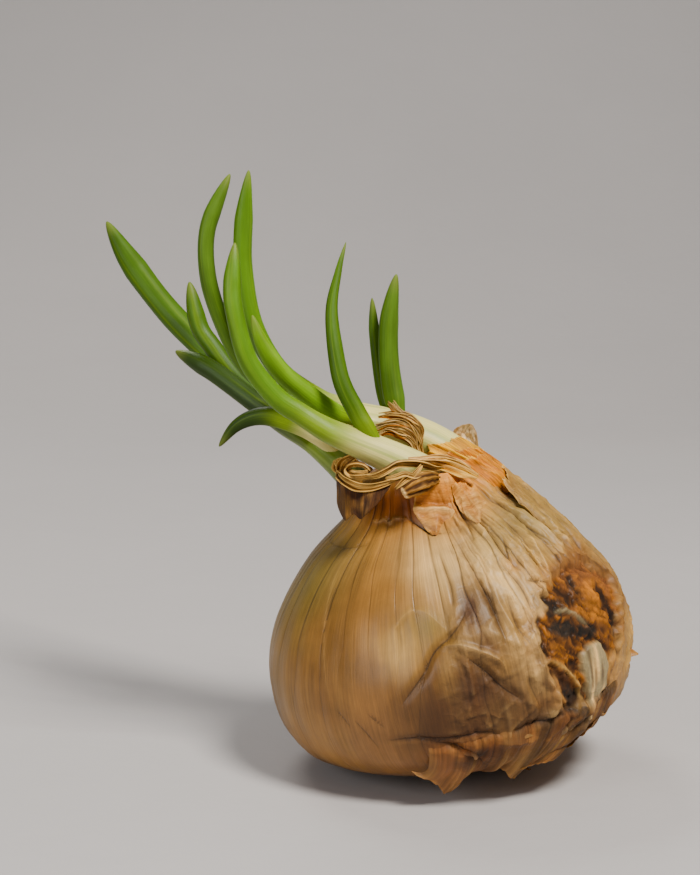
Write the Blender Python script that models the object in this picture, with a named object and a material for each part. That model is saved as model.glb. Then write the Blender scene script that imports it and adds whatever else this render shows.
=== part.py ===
"""A yellow onion that has sprouted: bulb, husks, three shoots and eleven leaves, each its own solid.

Metres, +Z up. The origin is on the flat spot that the bulb rests on, +X runs to the right of the view and
the view comes from -Y. The sizes below are millimetres, and are scaled once, where a mesh is made.
"""
import bisect
import math
import random

import bmesh
import bpy
from mathutils import Vector

MM = 0.001
GAP = 0.35  # between neighbouring pieces
ACROSS = Vector((0.0, 1.0, 0.0))

# The bulb leans to the left about its root plate.
LEAN = math.radians(12.0)
ROOT = Vector((9.0, 0.0, -3.2))
AXIS = Vector((-math.sin(LEAN), 0.0, math.cos(LEAN)))
SIDE = Vector((math.cos(LEAN), 0.0, math.sin(LEAN)))

# Height along the axis, then the bulb's reach to the left, right, front and back.
BULB_ROWS = (
    (6.4, 0.0, 0.0, 0.0, 0.0),
    (6.3, 3.8, 4.6, 3.8, 3.8),
    (5.2, 4.8, 7.0, 4.8, 4.8),
    (4.1, 5.8, 9.4, 6.2, 6.2),
    (4.3, 8.0, 14.0, 11.0, 11.0),
    (5.4, 12.5, 20.6, 16.4, 16.4),
    (7.5, 19.5, 26.5, 23.0, 23.0),
    (9.6, 26.5, 31.0, 28.6, 28.6),
    (11.9, 33.0, 34.8, 33.6, 33.6),
    (14.8, 38.7, 38.2, 38.4, 38.4),
    (18.8, 43.0, 41.2, 42.3, 42.3),
    (24.5, 45.7, 43.5, 44.6, 44.6),
    (31.0, 46.6, 44.7, 45.6, 45.6),
    (38.0, 45.9, 44.6, 45.0, 45.0),
    (44.6, 43.9, 42.4, 42.6, 42.6),
    (51.3, 40.5, 38.0, 38.6, 38.6),
    (57.8, 35.6, 33.2, 33.2, 33.2),
    (63.0, 30.6, 29.0, 27.2, 27.2),
    (67.0, 25.2, 25.2, 21.0, 21.0),
    (70.2, 20.4, 21.4, 16.8, 16.4),
    (73.4, 17.0, 18.4, 14.8, 13.6),
    (77.0, 14.4, 14.0, 13.8, 12.0),
    (80.2, 11.4, 9.6, 12.0, 10.0),
    (82.0, 6.0, 5.0, 6.6, 5.6),
    (82.4, 0.0, 0.0, 0.0, 0.0),
)
BULB_COLUMNS = 64
BULB_STEPS = 1.3  # mesh rows for each row above
RIBS = 16
RIB_HEIGHT = 0.3

# The main dents and swellings of the bulb's skin: the middle, how far it reaches and how high it stands.
DENTS = (
    ((-10.0, -40.0, 41.8), 6.5, -1.1),
    ((-20.0, -34.0, 46.8), 9.0, 0.7),
    ((9.0, -42.0, 40.8), 6.0, 0.9),
    ((30.0, -31.0, 39.8), 10.0, -1.5),
    ((38.0, -24.0, 26.8), 9.0, -0.8),
    ((12.0, -43.0, 18.8), 9.0, -0.8),
    ((-14.0, 40.0, 36.8), 11.0, -1.0),
    ((24.0, 34.0, 44.8), 12.0, 0.9),
)
# Its creases: the points they run through, half their width and how high they stand.
CREASES = (
    (((-2.0, -42.0, 40.8), (9.0, -43.0, 38.8), (13.0, -44.0, 30.8)), 2.6, 0.8),
    (((4.0, -38.0, 48.8), (-3.5, -42.6, 39.8), (-8.2, -44.0, 30.8)), 3.0, -0.9),
    (((4.0, -44.0, 37.8), (12.5, -44.3, 30.8), (17.0, -43.0, 23.8)), 3.0, -0.9),
)

# The plate in the hollow under the bulb, and its dry roots.
PLATE_RADIUS = 3.2
PLATE_FACES = (4.6, 5.9)  # the heights of its underside and top
PLATE_SIDES = 14
ROOT_START = (2.6, -0.7)  # a root's foot: from the plate's middle, and from its top
ROOT_BEND = 8.0
ROOT_SIDES = 5
ROOT_STEP = 4.0
ROOT_COUNT = 9
ROOT_FAN = 96.0  # the angle they spread over, away from the lean
ROOT_REACH = (12.0, 18.0)
ROOT_THICK = 0.42
ROOT_LEVEL = 4.2  # above the bulb's own zero, so just above the floor

# A shoot: the points of its middle, then half its thickness and half its breadth at a few places.
SHOOTS = {
    "shaft_front": {
        "path": (
            (5.5, -3.0, 61.8), (2.0, -4.4, 67.8), (-1.5, -6.0, 71.6), (-5.5, -7.6, 74.6), (-10.0, -9.0, 77.4),
            (-15.0, -10.2, 80.0), (-20.0, -11.4, 82.4), (-24.8, -12.8, 84.7), (-29.5, -14.0, 86.8),
        ),
        "half": ((4.8, 4.8), (5.0, 4.8), (4.3, 4.4), (3.6, 4.0), (3.0, 3.3)),
    },
    "shaft_upper": {
        "path": (
            (16.0, 1.0, 58.8), (14.0, 1.6, 64.8), (10.5, 2.6, 69.8), (5.0, 3.8, 74.8), (-0.5, 4.6, 78.8),
            (-6.0, 5.4, 81.8), (-11.0, 5.8, 83.8), (-16.5, 5.8, 85.4), (-22.0, 5.7, 87.0), (-26.0, 5.6, 88.4),
        ),
        "half": ((4.6, 4.8), (5.2, 5.2), (4.8, 5.6), (4.1, 6.4), (3.2, 7.0)),
    },
    "shaft_back": {
        "path": (
            (-10.5, 2.6, 56.8), (-14.5, 4.8, 62.8), (-19.0, 7.0, 67.2), (-23.5, 9.2, 71.6), (-28.0, 11.8, 75.8),
            (-33.0, 14.6, 79.6), (-38.5, 17.2, 83.0),
        ),
        "half": ((4.0, 4.0), (4.2, 4.2), (3.9, 4.8), (3.6, 5.8), (3.1, 7.0)),
    },
}

# A leaf: its shoot, the points of its middle, its width at the foot and near the tip, and how long the tip is.
LEAVES = {
    "leaf_front_main": {
        "shoot": "shaft_front", "width": (5.4, 4.2), "tip": 9.0,
        "path": (
            (-25.0, -12.8, 84.8), (-29.5, -14.0, 87.1), (-35.5, -14.2, 90.8), (-41.5, -15.0, 95.2),
            (-48.0, -16.0, 104.3), (-51.0, -15.4, 115.8), (-51.5, -14.0, 122.8), (-51.0, -12.0, 131.8),
        ),
    },
    "leaf_front_inner": {
        "shoot": "shaft_front", "width": (5.4, 3.4), "tip": 22.0,
        "path": (
            (-13.0, -10.2, 79.4), (-16.5, -11.0, 82.4), (-19.4, -12.0, 86.4), (-22.0, -11.5, 90.8),
            (-26.0, -10.0, 99.8), (-28.0, -6.0, 113.8), (-26.4, -2.6, 123.8), (-24.5, 0.0, 130.8),
        ),
    },
    "leaf_tall_right": {
        "shoot": "shaft_upper", "width": (5.4, 4.2), "tip": 12.0,
        "path": (
            (-20.5, 5.6, 86.8), (-25.5, 5.3, 88.6), (-31.0, 4.2, 91.2), (-40.5, 2.5, 98.3), (-47.0, 1.5, 109.8),
            (-49.5, 0.5, 123.3), (-49.5, 0.0, 134.8), (-48.0, -1.0, 148.3),
        ),
    },
    "leaf_inner_fold": {
        "shoot": "shaft_upper", "width": (5.2, 4.4), "tip": 12.0,
        "path": (
            (-18.0, 1.3, 85.6), (-23.0, -0.9, 87.4), (-28.0, -3.6, 89.6), (-36.0, -6.0, 95.8),
            (-41.0, -7.0, 100.8), (-45.0, -7.5, 107.3), (-47.2, -7.5, 113.8),
        ),
    },
    "leaf_tall_left": {
        "shoot": "shaft_upper", "width": (4.2, 4.0), "tip": 11.0,
        "path": (
            (-20.5, 9.9, 86.2), (-27.0, 10.6, 87.5), (-33.5, 10.3, 88.8), (-41.0, 9.4, 91.6), (-49.5, 8.5, 98.8),
            (-55.0, 7.0, 109.8), (-58.5, 5.5, 121.8), (-58.5, 6.0, 133.8), (-53.0, 8.0, 146.8),
        ),
    },
    "leaf_right_tall": {
        "shoot": "shaft_upper", "width": (5.6, 4.6), "tip": 12.0,
        "path": (
            (-7.0, 5.6, 81.8), (-10.0, 6.4, 84.8), (-12.2, 7.8, 89.3), (-13.8, 10.0, 99.8),
            (-13.8, 11.0, 110.8), (-12.0, 11.0, 121.8),
        ),
    },
    "leaf_right_short": {
        "shoot": "shaft_upper", "width": (3.2, 2.6), "tip": 8.0,
        "path": (
            (-9.0, 9.2, 81.6), (-12.6, 10.6, 85.4), (-15.2, 13.0, 90.8), (-17.0, 15.0, 101.8),
            (-18.0, 15.5, 115.3),
        ),
    },
    "leaf_back_wide": {
        "shoot": "shaft_back", "width": (5.6, 5.0), "tip": 9.0,
        "path": (
            (-34.0, 12.9, 80.4), (-40.5, 14.2, 84.2), (-46.0, 16.5, 87.6), (-54.0, 21.0, 92.8),
            (-60.0, 24.6, 96.3), (-68.5, 30.0, 99.8),
        ),
    },
    "leaf_back_short": {
        "shoot": "shaft_back", "width": (5.2, 4.8), "tip": 9.0,
        "path": (
            (-34.0, 17.3, 80.2), (-41.0, 19.9, 84.0), (-46.5, 23.0, 88.0), (-53.5, 27.0, 93.8),
            (-59.0, 30.2, 100.8), (-62.6, 32.2, 106.3), (-65.0, 34.0, 117.3),
        ),
    },
    "leaf_far": {
        "shoot": "shaft_back", "width": (6.4, 6.6), "tip": 16.0,
        "path": (
            (-33.4, 21.6, 79.8), (-39.0, 25.0, 82.8), (-44.5, 29.0, 86.3), (-52.0, 34.0, 91.6),
            (-60.0, 39.0, 97.8), (-71.5, 46.0, 108.3), (-82.5, 54.0, 121.3), (-88.5, 58.0, 130.8),
        ),
    },
    "leaf_hooked": {
        "shoot": "shaft_back", "width": (5.4, 4.6), "tip": 17.0,
        "path": (
            (-25.0, 9.6, 73.8), (-28.6, 8.0, 78.4), (-32.5, 7.2, 82.4), (-38.0, 7.4, 85.0), (-43.5, 8.2, 86.4),
            (-48.2, 9.2, 85.8), (-52.6, 10.2, 83.2), (-56.5, 11.0, 78.2),
        ),
    },
}
LEAF_SIDES = 10
LEAF_STEP = 5.5  # along a leaf, between its rings
FOOT_STATIONS = (0.0, 3.0, 6.0, 8.0, 10.0, 13.0)
TIP_SHARES = (0.9, 0.55, 0.28, 0.1, 0.02, 0.0)  # the rings of a tip, in shares of its length
CUTTER_EXTRA = 2  # rings of a socket's cutter beyond the leaf's foot
SHOOT_SIDES = 14
SHOOT_STEP = 4.0
SOCKET = 5.0  # how deep a leaf's foot sits in its shoot
FLARE = 7.0  # over which the foot widens to the blade
FOOT = 1.55  # half the width of that foot
FLATNESS = 0.84  # a leaf's breadth over its width

# Thin dry skins.
SKIN = 0.7
SKIN_LIFT = 1.0  # from the bulb to the middle of a skin that lies on it
SKIN_COLUMNS = 34
SKIN_ROWS = 7
SKIN_CURL = 3.0  # how far its top edge stands off on the right
CURL_ANGLE = 4.0  # where it stands off most, in degrees
CURL_REACH = 26.0
# The loose outer skin: angle round the bulb in degrees, then the heights of its lower and upper edges.
OUTER_SKIN_ROWS = (
    (-91.0, 46.0, 68.5),
    (-79.0, 41.5, 69.5),
    (-64.0, 44.0, 70.5),
    (-50.0, 51.5, 71.5),
    (-34.0, 50.5, 71.0),
    (-22.0, 46.0, 72.5),
    (-12.0, 37.0, 75.0),
    (6.0, 32.0, 73.0),
    (24.0, 30.0, 71.0),
    (44.0, 36.0, 69.5),
    (66.0, 44.0, 68.0),
)
# The torn flap under the lower right: the points of its hem, from the left round to the right.
FLAP_START = math.radians(-103.0)
FLAP_END = math.radians(-28.0)
FLAP_TOP = 21.5  # height of its upper edge along the bulb's axis
FLAP_HEM = (
    (-9.0, -41.0, 8.8),
    (-3.5, -39.0, 6.3),
    (-0.3, -34.0, 2.4),
    (3.8, -37.2, 7.4),
    (8.8, -36.4, 8.0),
    (12.8, -35.6, 8.4),
    (15.1, -33.6, 5.8),
    (17.6, -34.6, 8.4),
    (21.4, -33.0, 9.2),
    (25.4, -31.0, 10.0),
    (29.4, -28.8, 12.2),
    (33.6, -26.6, 15.6),
    (38.0, -24.0, 18.8),
)
FLAP_DROP = 9.0  # how far down the bulb its lying part would reach
FLAP_COLUMNS = 36
FLAP_ROWS = 5
# The pointed scrap over the front of the neck.
SCRAP_ANGLES = (math.radians(-108.0), math.radians(-64.0))
SCRAP_TOP = 74.5
SCRAP_TIP = 65.5
SCRAP_LIFT = 2.2
SCRAP_NARROWING = 0.85  # how much of its breadth is lost at its tip
SCRAP_FOLD = 0.5
SCRAP_COLUMNS = 10
SCRAP_ROWS = 7

# The husk rolled round the neck, the skirt that hangs from it and the stub across it.
COLLAR_PATH = (
    (1.0, -17.6, 76.2), (-3.0, -18.0, 77.8), (-8.0, -18.6, 78.2), (-13.0, -18.8, 76.4), (-18.0, -18.0, 73.4),
    (-23.0, -14.6, 72.2), (-26.0, -8.6, 73.2), (-26.6, -2.6, 75.0), (-24.2, 1.6, 74.8),
)
COLLAR_HALF = ((1.0, 1.2), (2.3, 2.6), (2.7, 2.4), (2.4, 2.2), (2.6, 2.4), (2.1, 2.4), (1.9, 2.0), (1.0, 1.0))
STUB_PATH = ((-3.0, -19.5, 75.8), (-7.0, -20.6, 74.2), (-12.5, -21.2, 71.4))
STUB_HALF = ((1.8, 1.4), (2.1, 1.8), (1.7, 1.5))
COLLAR_SIDES = 12
COLLAR_STEP = 2.6
COLLAR_LUMP = 0.12  # how much it swells and thins along its length
STUB_SIDES = 8
STUB_STEP = 2.4
SKIRT_COLUMNS = 18
SKIRT_ROWS = 3
SKIRT_TEAR = 3.4
SKIRT_TOP = (
    (-10.0, -18.2, 75.8), (-14.0, -18.2, 74.8), (-18.0, -17.6, 72.6), (-22.0, -15.2, 71.6), (-25.6, -9.8, 72.2),
    (-26.6, -4.0, 73.8), (-25.0, 0.4, 74.4),
)
SKIRT_HEM = (
    (-10.8, -20.0, 72.8), (-14.6, -20.4, 70.8), (-18.4, -20.0, 68.2), (-22.4, -17.6, 65.0), (-25.4, -13.0, 65.8),
    (-27.4, -7.0, 67.8), (-27.0, -1.0, 69.8),
)
# The orange husk round the foot of the upper shoot, in distances along the shoot and turns round it.
SHEATH_START = 13.8
SHEATH_MOUTH = ((31.5,), (31.0,), (26.0,), (19.5,), (18.0,))  # from its front edge round to its back edge
SHEATH_TURNS = (math.radians(322.0), math.radians(100.0))
SHEATH_TEAR = 2.5
SHEATH_PROUD = GAP + 0.5 * SKIN + 0.25  # from the shoot to the middle of the husk
SHEATH_COLUMNS = 20
SHEATH_ROWS = 7
# The frayed tuft between the shoots, and the see-through wing behind the upper one.
TUFT_FOOT = ((-5.3, -2.4, 77.0), (-6.0, -2.6, 80.0), (-6.7, -2.9, 83.6))
TUFT_FOOT_HALF = ((1.4, 0.9), (1.8, 1.1), (1.5, 0.8))
TUFT_BLADES = (
    ((-6.2, -2.6, 80.5), (-6.0, -2.7, 84.5), (-8.2, -3.2, 87.6), (-12.0, -3.9, 89.0), (-16.6, -4.6, 88.8)),
    ((-6.6, -2.9, 80.5), (-7.6, -3.2, 84.0), (-10.4, -3.9, 86.4), (-14.0, -4.7, 87.0), (-17.4, -5.3, 86.0)),
    ((-7.0, -3.2, 80.0), (-8.8, -3.6, 82.6), (-11.4, -4.4, 84.2), (-14.4, -5.2, 85.0), (-16.6, -5.8, 84.0)),
    ((-6.8, -2.9, 82.4), (-9.6, -3.4, 87.0), (-12.0, -3.7, 89.0), (-14.3, -4.0, 91.9)),
    ((-6.4, -2.5, 82.4), (-9.0, -3.0, 87.4), (-11.2, -3.3, 89.2), (-12.9, -3.6, 91.8)),
)
TUFT_BLADE_HALF = ((1.1, 0.6), (1.3, 0.5), (1.1, 0.45), (0.45, 0.35))
TUFT_STEP = 2.2
BLADE_SIDES = 6
WING_BULGE = 0.8
WING_COLUMNS = 8
WING_ROWS = 4
WING_FOOT = ((1.0, 11.4, 77.4), (4.6, 11.6, 75.8), (8.6, 11.0, 73.6))
WING_TOP = ((1.4, 10.8, 82.2), (5.6, 11.4, 84.8), (9.6, 10.6, 80.2))

COLOURS = {
    "bulb": (0.52, 0.27, 0.09),
    "root": (0.20, 0.12, 0.06),
    "shoot": (0.72, 0.74, 0.46),
    "leaf": (0.18, 0.42, 0.02),
    "husk": (0.48, 0.30, 0.10),
    "skin": (0.60, 0.38, 0.16),
}


def clamp(value, low=0.0, high=1.0):
    return min(max(value, low), high)


def ease(value):
    """From 0 to 1 with level ends."""
    value = clamp(value)
    return value * value * (3.0 - 2.0 * value)


def spline(rows, t):
    """The value at t, from 0 to 1, of a smooth curve through the rows."""
    last = len(rows) - 1
    t = clamp(t) * last
    i = min(int(t), last - 1)
    f = t - i
    before, start, end, after = rows[max(i - 1, 0)], rows[i], rows[i + 1], rows[min(i + 2, last)]
    return [
        0.5 * (2 * b + (c - a) * f + (2 * a - 5 * b + 4 * c - d) * f * f + (3 * b - a - 3 * c + d) * f**3)
        for a, b, c, d in zip(before, start, end, after)
    ]


def ragged(count, depth, seed):
    """A torn edge: a function from 0 to 1 that gives how deep the tear is there."""
    draw = random.Random(seed)
    depths = [depth * draw.random() for _ in range(count + 1)]

    def at(u):
        place = clamp(u) * count
        i = min(int(place), count - 1)
        return depths[i] + (depths[i + 1] - depths[i]) * (place - i)

    return at


def material(kind, roughness):
    made = bpy.data.materials.new(kind)
    made.use_nodes = True
    shader = made.node_tree.nodes["Principled BSDF"]
    shader.inputs["Base Color"].default_value = (*COLOURS[kind], 1.0)
    shader.inputs["Roughness"].default_value = roughness
    shader.inputs["Metallic"].default_value = 0.0
    return made


def add_object(name, bm, finish=None):
    """An object from a mesh in millimetres, turned to metres, faces out and smooth."""
    bmesh.ops.recalc_face_normals(bm, faces=bm.faces)
    if bm.calc_volume(signed=True) < 0.0:
        bmesh.ops.reverse_faces(bm, faces=bm.faces)
    bmesh.ops.scale(bm, vec=(MM, MM, MM), verts=bm.verts)
    mesh = bpy.data.meshes.new(name)
    bm.to_mesh(mesh)
    bm.free()
    mesh.shade_smooth()
    made = bpy.data.objects.new(name, mesh)
    bpy.context.scene.collection.objects.link(made)
    if finish:
        mesh.materials.append(finish)
    return made


def hide_cutter(cutter):
    cutter.hide_render = True
    cutter.display_type = "WIRE"
    return cutter


def cut(target, *cutters):
    for cutter in cutters:
        boolean = target.modifiers.new("cut_" + cutter.name, "BOOLEAN")
        boolean.operation = "DIFFERENCE"
        boolean.object = cutter


def settle(target):
    """Apply the modifiers, and drop any scrap that a cut left loose."""
    bpy.context.view_layer.update()
    whole = target.evaluated_get(bpy.context.evaluated_depsgraph_get())
    bm = bmesh.new()
    bm.from_mesh(whole.to_mesh())
    bodies = []
    unseen = set(bm.verts)
    while unseen:
        body, edge = set(), {unseen.pop()}
        while edge:
            body |= edge
            edge = {link.other_vert(vert) for vert in edge for link in vert.link_edges} - body
        unseen -= body
        bodies.append(body)
    bodies.sort(key=len)
    scraps = [vert for body in bodies[:-1] for vert in body]
    bmesh.ops.delete(bm, geom=scraps, context="VERTS")
    target.modifiers.clear()
    bm.to_mesh(target.data)
    bm.free()


def join(target, parts):
    """One body of the target and the parts that run into it."""
    group = bpy.data.collections.new("join_" + target.name)
    for part in parts:
        group.objects.link(part)
    union = target.modifiers.new("join", "BOOLEAN")
    union.operation = "UNION"
    union.operand_type = "COLLECTION"
    union.collection = group
    bpy.context.view_layer.update()
    whole = target.evaluated_get(bpy.context.evaluated_depsgraph_get())
    mesh = bpy.data.meshes.new_from_object(whole)
    target.modifiers.clear()
    target.data = mesh
    for part in parts:
        bpy.data.objects.remove(part)
    bpy.data.collections.remove(group)
    return target


def skin_rings(bm, rings):
    """Triangles between rings of points, which close at both ends. A ring of one point is a tip."""
    rows = [[bm.verts.new(point) for point in ring] for ring in rings]
    for low, high in zip(rows, rows[1:]):
        count = max(len(low), len(high))
        for i in range(count):
            j = (i + 1) % count
            if len(low) == 1:
                bm.faces.new((low[0], high[j], high[i]))
            elif len(high) == 1:
                bm.faces.new((low[i], low[j], high[0]))
            else:
                bm.faces.new((low[i], low[j], high[j]))
                bm.faces.new((low[i], high[j], high[i]))
    for row, flip in ((rows[0], True), (rows[-1], False)):
        if len(row) > 1:
            bm.faces.new(row[::-1] if flip else row)


def segment_distance(place, start, end):
    line = end - start
    share = clamp((place - start).dot(line) / line.length_squared)
    return (place - start - line * share).length


def relief(place):
    """How far the dents and creases move the bulb's skin at a place."""
    height = 0.0
    for middle, reach, rise in DENTS:
        height += rise * math.exp(-((place - Vector(middle)).length / reach) ** 2)
    for points, half_width, rise in CREASES:
        ends = [Vector(point) for point in points]
        near = min(segment_distance(place, a, b) for a, b in zip(ends, ends[1:]))
        height += rise * math.exp(-((near / half_width) ** 2))
    return height


def bulb_point(angle, t, lift=0.0):
    """A point of the bulb: angle 0 is to the right and a quarter turn is to the back."""
    height, left, right, front, back = spline(BULB_ROWS, t)
    along = math.cos(angle) ** 2
    reach = along * (right if math.cos(angle) > 0.0 else left)
    reach += (1.0 - along) * (back if math.sin(angle) > 0.0 else front)
    reach = max(reach, 0.0)
    ribbed = ease((height - 8.0) / 25.0) * ease((78.0 - height) / 20.0)
    reach += RIB_HEIGHT * ribbed * math.cos(RIBS * angle)
    out = SIDE * math.cos(angle) + ACROSS * math.sin(angle)
    place = ROOT + AXIS * height + out * reach
    return place + (lift + relief(place)) * bulb_normal(angle, t)


def bulb_normal(angle, t):
    """Outwards from the bulb's turned form, without its ribs."""
    step = 0.01
    low, high = spline(BULB_ROWS, t - step), spline(BULB_ROWS, t + step)
    rise = high[0] - low[0]
    reach = 0.5 * (high[1] + high[2] - low[1] - low[2])
    out = SIDE * math.cos(angle) + ACROSS * math.sin(angle)
    normal = out * rise - AXIS * reach
    return normal.normalized()


def bulb_mesh(lift=0.0):
    bm = bmesh.new()
    steps = int((len(BULB_ROWS) - 1) * BULB_STEPS)
    turn = 2 * math.pi / BULB_COLUMNS
    rings = [[bulb_point(0.0, 0.0, lift)]]
    for step in range(1, steps):
        rings.append([bulb_point(turn * i, step / steps, lift) for i in range(BULB_COLUMNS)])
    rings.append([bulb_point(0.0, 1.0, lift)])
    skin_rings(bm, rings)
    return bm


def make_bulb(finish):
    """The bulb, cut level at the floor for the spot that it rests on."""
    bm = bulb_mesh()
    everything = bm.verts[:] + bm.edges[:] + bm.faces[:]
    bmesh.ops.bisect_plane(bm, geom=everything, plane_co=(0, 0, 0), plane_no=(0, 0, 1), clear_inner=True)
    bmesh.ops.holes_fill(bm, edges=[edge for edge in bm.edges if edge.is_boundary])
    return add_object("bulb", bm, finish)


class Trace:
    """A smooth curve through points, read by the distance along it."""

    SAMPLES = 160

    def __init__(self, points):
        self.places = [Vector(spline(points, i / self.SAMPLES)) for i in range(self.SAMPLES + 1)]
        self.marks = [0.0]
        for a, b in zip(self.places, self.places[1:]):
            self.marks.append(self.marks[-1] + (b - a).length)
        self.length = self.marks[-1]

    def at(self, along):
        """The place at a distance. Beyond either end the curve runs on straight."""
        i = min(max(bisect.bisect_right(self.marks, along) - 1, 0), self.SAMPLES - 1)
        share = (along - self.marks[i]) / (self.marks[i + 1] - self.marks[i])
        return self.places[i].lerp(self.places[i + 1], share)

    def ring(self, along, half_up, half_side, sides):
        """A ring of points about the curve. Its breadth lies across the view."""
        reach = 1.0
        tangent = (self.at(along + reach) - self.at(along - reach)).normalized()
        side = (ACROSS - tangent * ACROSS.dot(tangent)).normalized()
        up = tangent.cross(side)
        turn = 2 * math.pi / sides
        return [
            self.at(along) + up * (half_up * math.cos(turn * i)) + side * (half_side * math.sin(turn * i))
            for i in range(sides)
        ]


def shoot_mesh(spec, lift=0.0):
    trace = Trace(spec["path"])
    steps = round(trace.length / SHOOT_STEP)
    rings = []
    for step in range(steps + 1):
        share = step / steps
        half_up, half_side = spline(spec["half"], share)
        along = trace.length * share + lift * (2 * share - 1)
        rings.append(trace.ring(along, half_up + lift, half_side + lift, SHOOT_SIDES))
    bm = bmesh.new()
    skin_rings(bm, rings)
    return bm


def leaf_half(spec, length, along):
    """Half a leaf's width at a distance along it: a slim foot, an even blade and a drawn-out tip."""
    foot_width, tip_width = spec["width"]
    half = 0.5 * (foot_width + (tip_width - foot_width) * along / length)
    slim = 1.0 - ease((along - SOCKET) / FLARE)
    half += (min(FOOT, half) - half) * slim
    left = clamp((length - along) / spec["tip"])
    return half * math.sqrt(1.0 - (1.0 - left) ** 2)


def leaf_stations(length, tip):
    """Distances along a leaf: close at its foot and tip, even between them."""
    blade_end = length - tip * TIP_SHARES[0]
    count = round((blade_end - FOOT_STATIONS[-1]) / LEAF_STEP)
    step = (blade_end - FOOT_STATIONS[-1]) / count
    blade = [FOOT_STATIONS[-1] + step * i for i in range(1, count)]
    return [*FOOT_STATIONS, *blade, *(length - tip * share for share in TIP_SHARES)]


def leaf_mesh(spec, lift=0.0):
    """A leaf, or with a lift the cutter for its socket, which stops short of the tip."""
    trace = Trace(spec["path"])
    stations = leaf_stations(trace.length, spec["tip"])
    if lift:
        stations = [-lift, *stations[1 : len(FOOT_STATIONS) + CUTTER_EXTRA]]
    rings = []
    for along in stations:
        if along < trace.length:
            half = leaf_half(spec, trace.length, along)
            rings.append(trace.ring(along, half + lift, half * FLATNESS + lift, LEAF_SIDES))
        else:
            rings.append([trace.at(trace.length)])
    bm = bmesh.new()
    skin_rings(bm, rings)
    return bm


def sheet_mesh(point, columns, rows, thickness=SKIN):
    """A thin closed skin about point(u, v), split into triangles alike on both faces."""
    middle = [[point(i / columns, j / rows) for i in range(columns + 1)] for j in range(rows + 1)]
    bm = bmesh.new()
    faces = []
    for half in (0.5 * thickness, -0.5 * thickness):
        grid = []
        for j in range(rows + 1):
            line = []
            for i in range(columns + 1):
                along = middle[j][min(i + 1, columns)] - middle[j][max(i - 1, 0)]
                down = middle[min(j + 1, rows)][i] - middle[max(j - 1, 0)][i]
                line.append(bm.verts.new(middle[j][i] + along.cross(down).normalized() * half))
            grid.append(line)
        faces.append(grid)
    top, bottom = faces
    for j in range(rows):
        for i in range(columns):
            for grid in faces:
                a, b, c, d = grid[j][i], grid[j][i + 1], grid[j + 1][i + 1], grid[j + 1][i]
                bm.faces.new((a, b, c))
                bm.faces.new((a, c, d))
    rim = [(0, i) for i in range(columns)] + [(j, columns) for j in range(rows)]
    rim += [(rows, i) for i in range(columns, 0, -1)] + [(j, 0) for j in range(rows, 0, -1)]
    for (j, i), (k, m) in zip(rim, rim[1:] + rim[:1]):
        bm.faces.new((top[j][i], top[k][m], bottom[k][m]))
        bm.faces.new((top[j][i], bottom[k][m], bottom[j][i]))
    return bm


def row_at_height(height):
    """The t of bulb_point at a height along the bulb's axis, above its foot."""
    low, high = 0.2, 0.98
    for _ in range(24):
        middle = 0.5 * (low + high)
        if spline(BULB_ROWS, middle)[0] < height:
            low = middle
        else:
            high = middle
    return low


def make_outer_skin(finish):
    """The loose skin over the right shoulder. Both its edges are torn."""
    top_tear = ragged(22, 2.6, 3)
    hem_tear = ragged(26, 3.0, 5)
    side_tear = ragged(5, 6.0, 8)

    def point(u, v):
        angle, low, high = spline(OUTER_SKIN_ROWS, u)
        angle += side_tear(v) * (1.0 - 2.0 * u) * abs(1.0 - 2.0 * u)
        low += hem_tear(u)
        high -= top_tear(u)
        curl = SKIN_CURL * v * v * math.exp(-(((angle - CURL_ANGLE) / CURL_REACH) ** 2))
        return bulb_point(math.radians(angle), row_at_height(low + (high - low) * v), SKIN_LIFT + curl)

    return add_object("outer_skin_right", sheet_mesh(point, SKIN_COLUMNS, SKIN_ROWS), finish)


def make_flap(finish):
    """The torn skin that leaves the bulb low on the right and hangs clear of it."""
    def point(u, v):
        angle = FLAP_START + (FLAP_END - FLAP_START) * u
        lying = bulb_point(angle, row_at_height(FLAP_TOP - FLAP_DROP * v), SKIN_LIFT)
        return lying.lerp(Vector(spline(FLAP_HEM, u)), v * v)

    return add_object("skin_flap_bottom", sheet_mesh(point, FLAP_COLUMNS, FLAP_ROWS), finish)


def make_scrap(finish):
    """A pointed scrap of skin that hangs over the front of the neck."""
    first, last = SCRAP_ANGLES

    def point(u, v):
        width = 1.0 - SCRAP_NARROWING * v**1.5
        angle = 0.5 * (first + last) + (u - 0.5) * (last - first) * width
        fold = SCRAP_FOLD * math.sin(3.0 * math.pi * u) * (1.0 - v)
        height = SCRAP_TOP + (SCRAP_TIP - SCRAP_TOP) * v
        return bulb_point(angle, row_at_height(height), SCRAP_LIFT + fold)

    return add_object("skin_tip_front", sheet_mesh(point, SCRAP_COLUMNS, SCRAP_ROWS), finish)


def tube_mesh(path, halves, sides, step, lump=0.0):
    """A closed tube with a breadth of its own at each place, and lumps if asked for."""
    trace = Trace(path)
    count = round(trace.length / step)
    rings = []
    for i in range(count + 1):
        share = i / count
        half_up, half_side = spline(halves, share)
        swell = 1.0 + lump * math.sin(2.4 * i)
        rings.append(trace.ring(trace.length * share, half_up * swell, half_side * swell, sides))
    bm = bmesh.new()
    skin_rings(bm, rings)
    return bm


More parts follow.
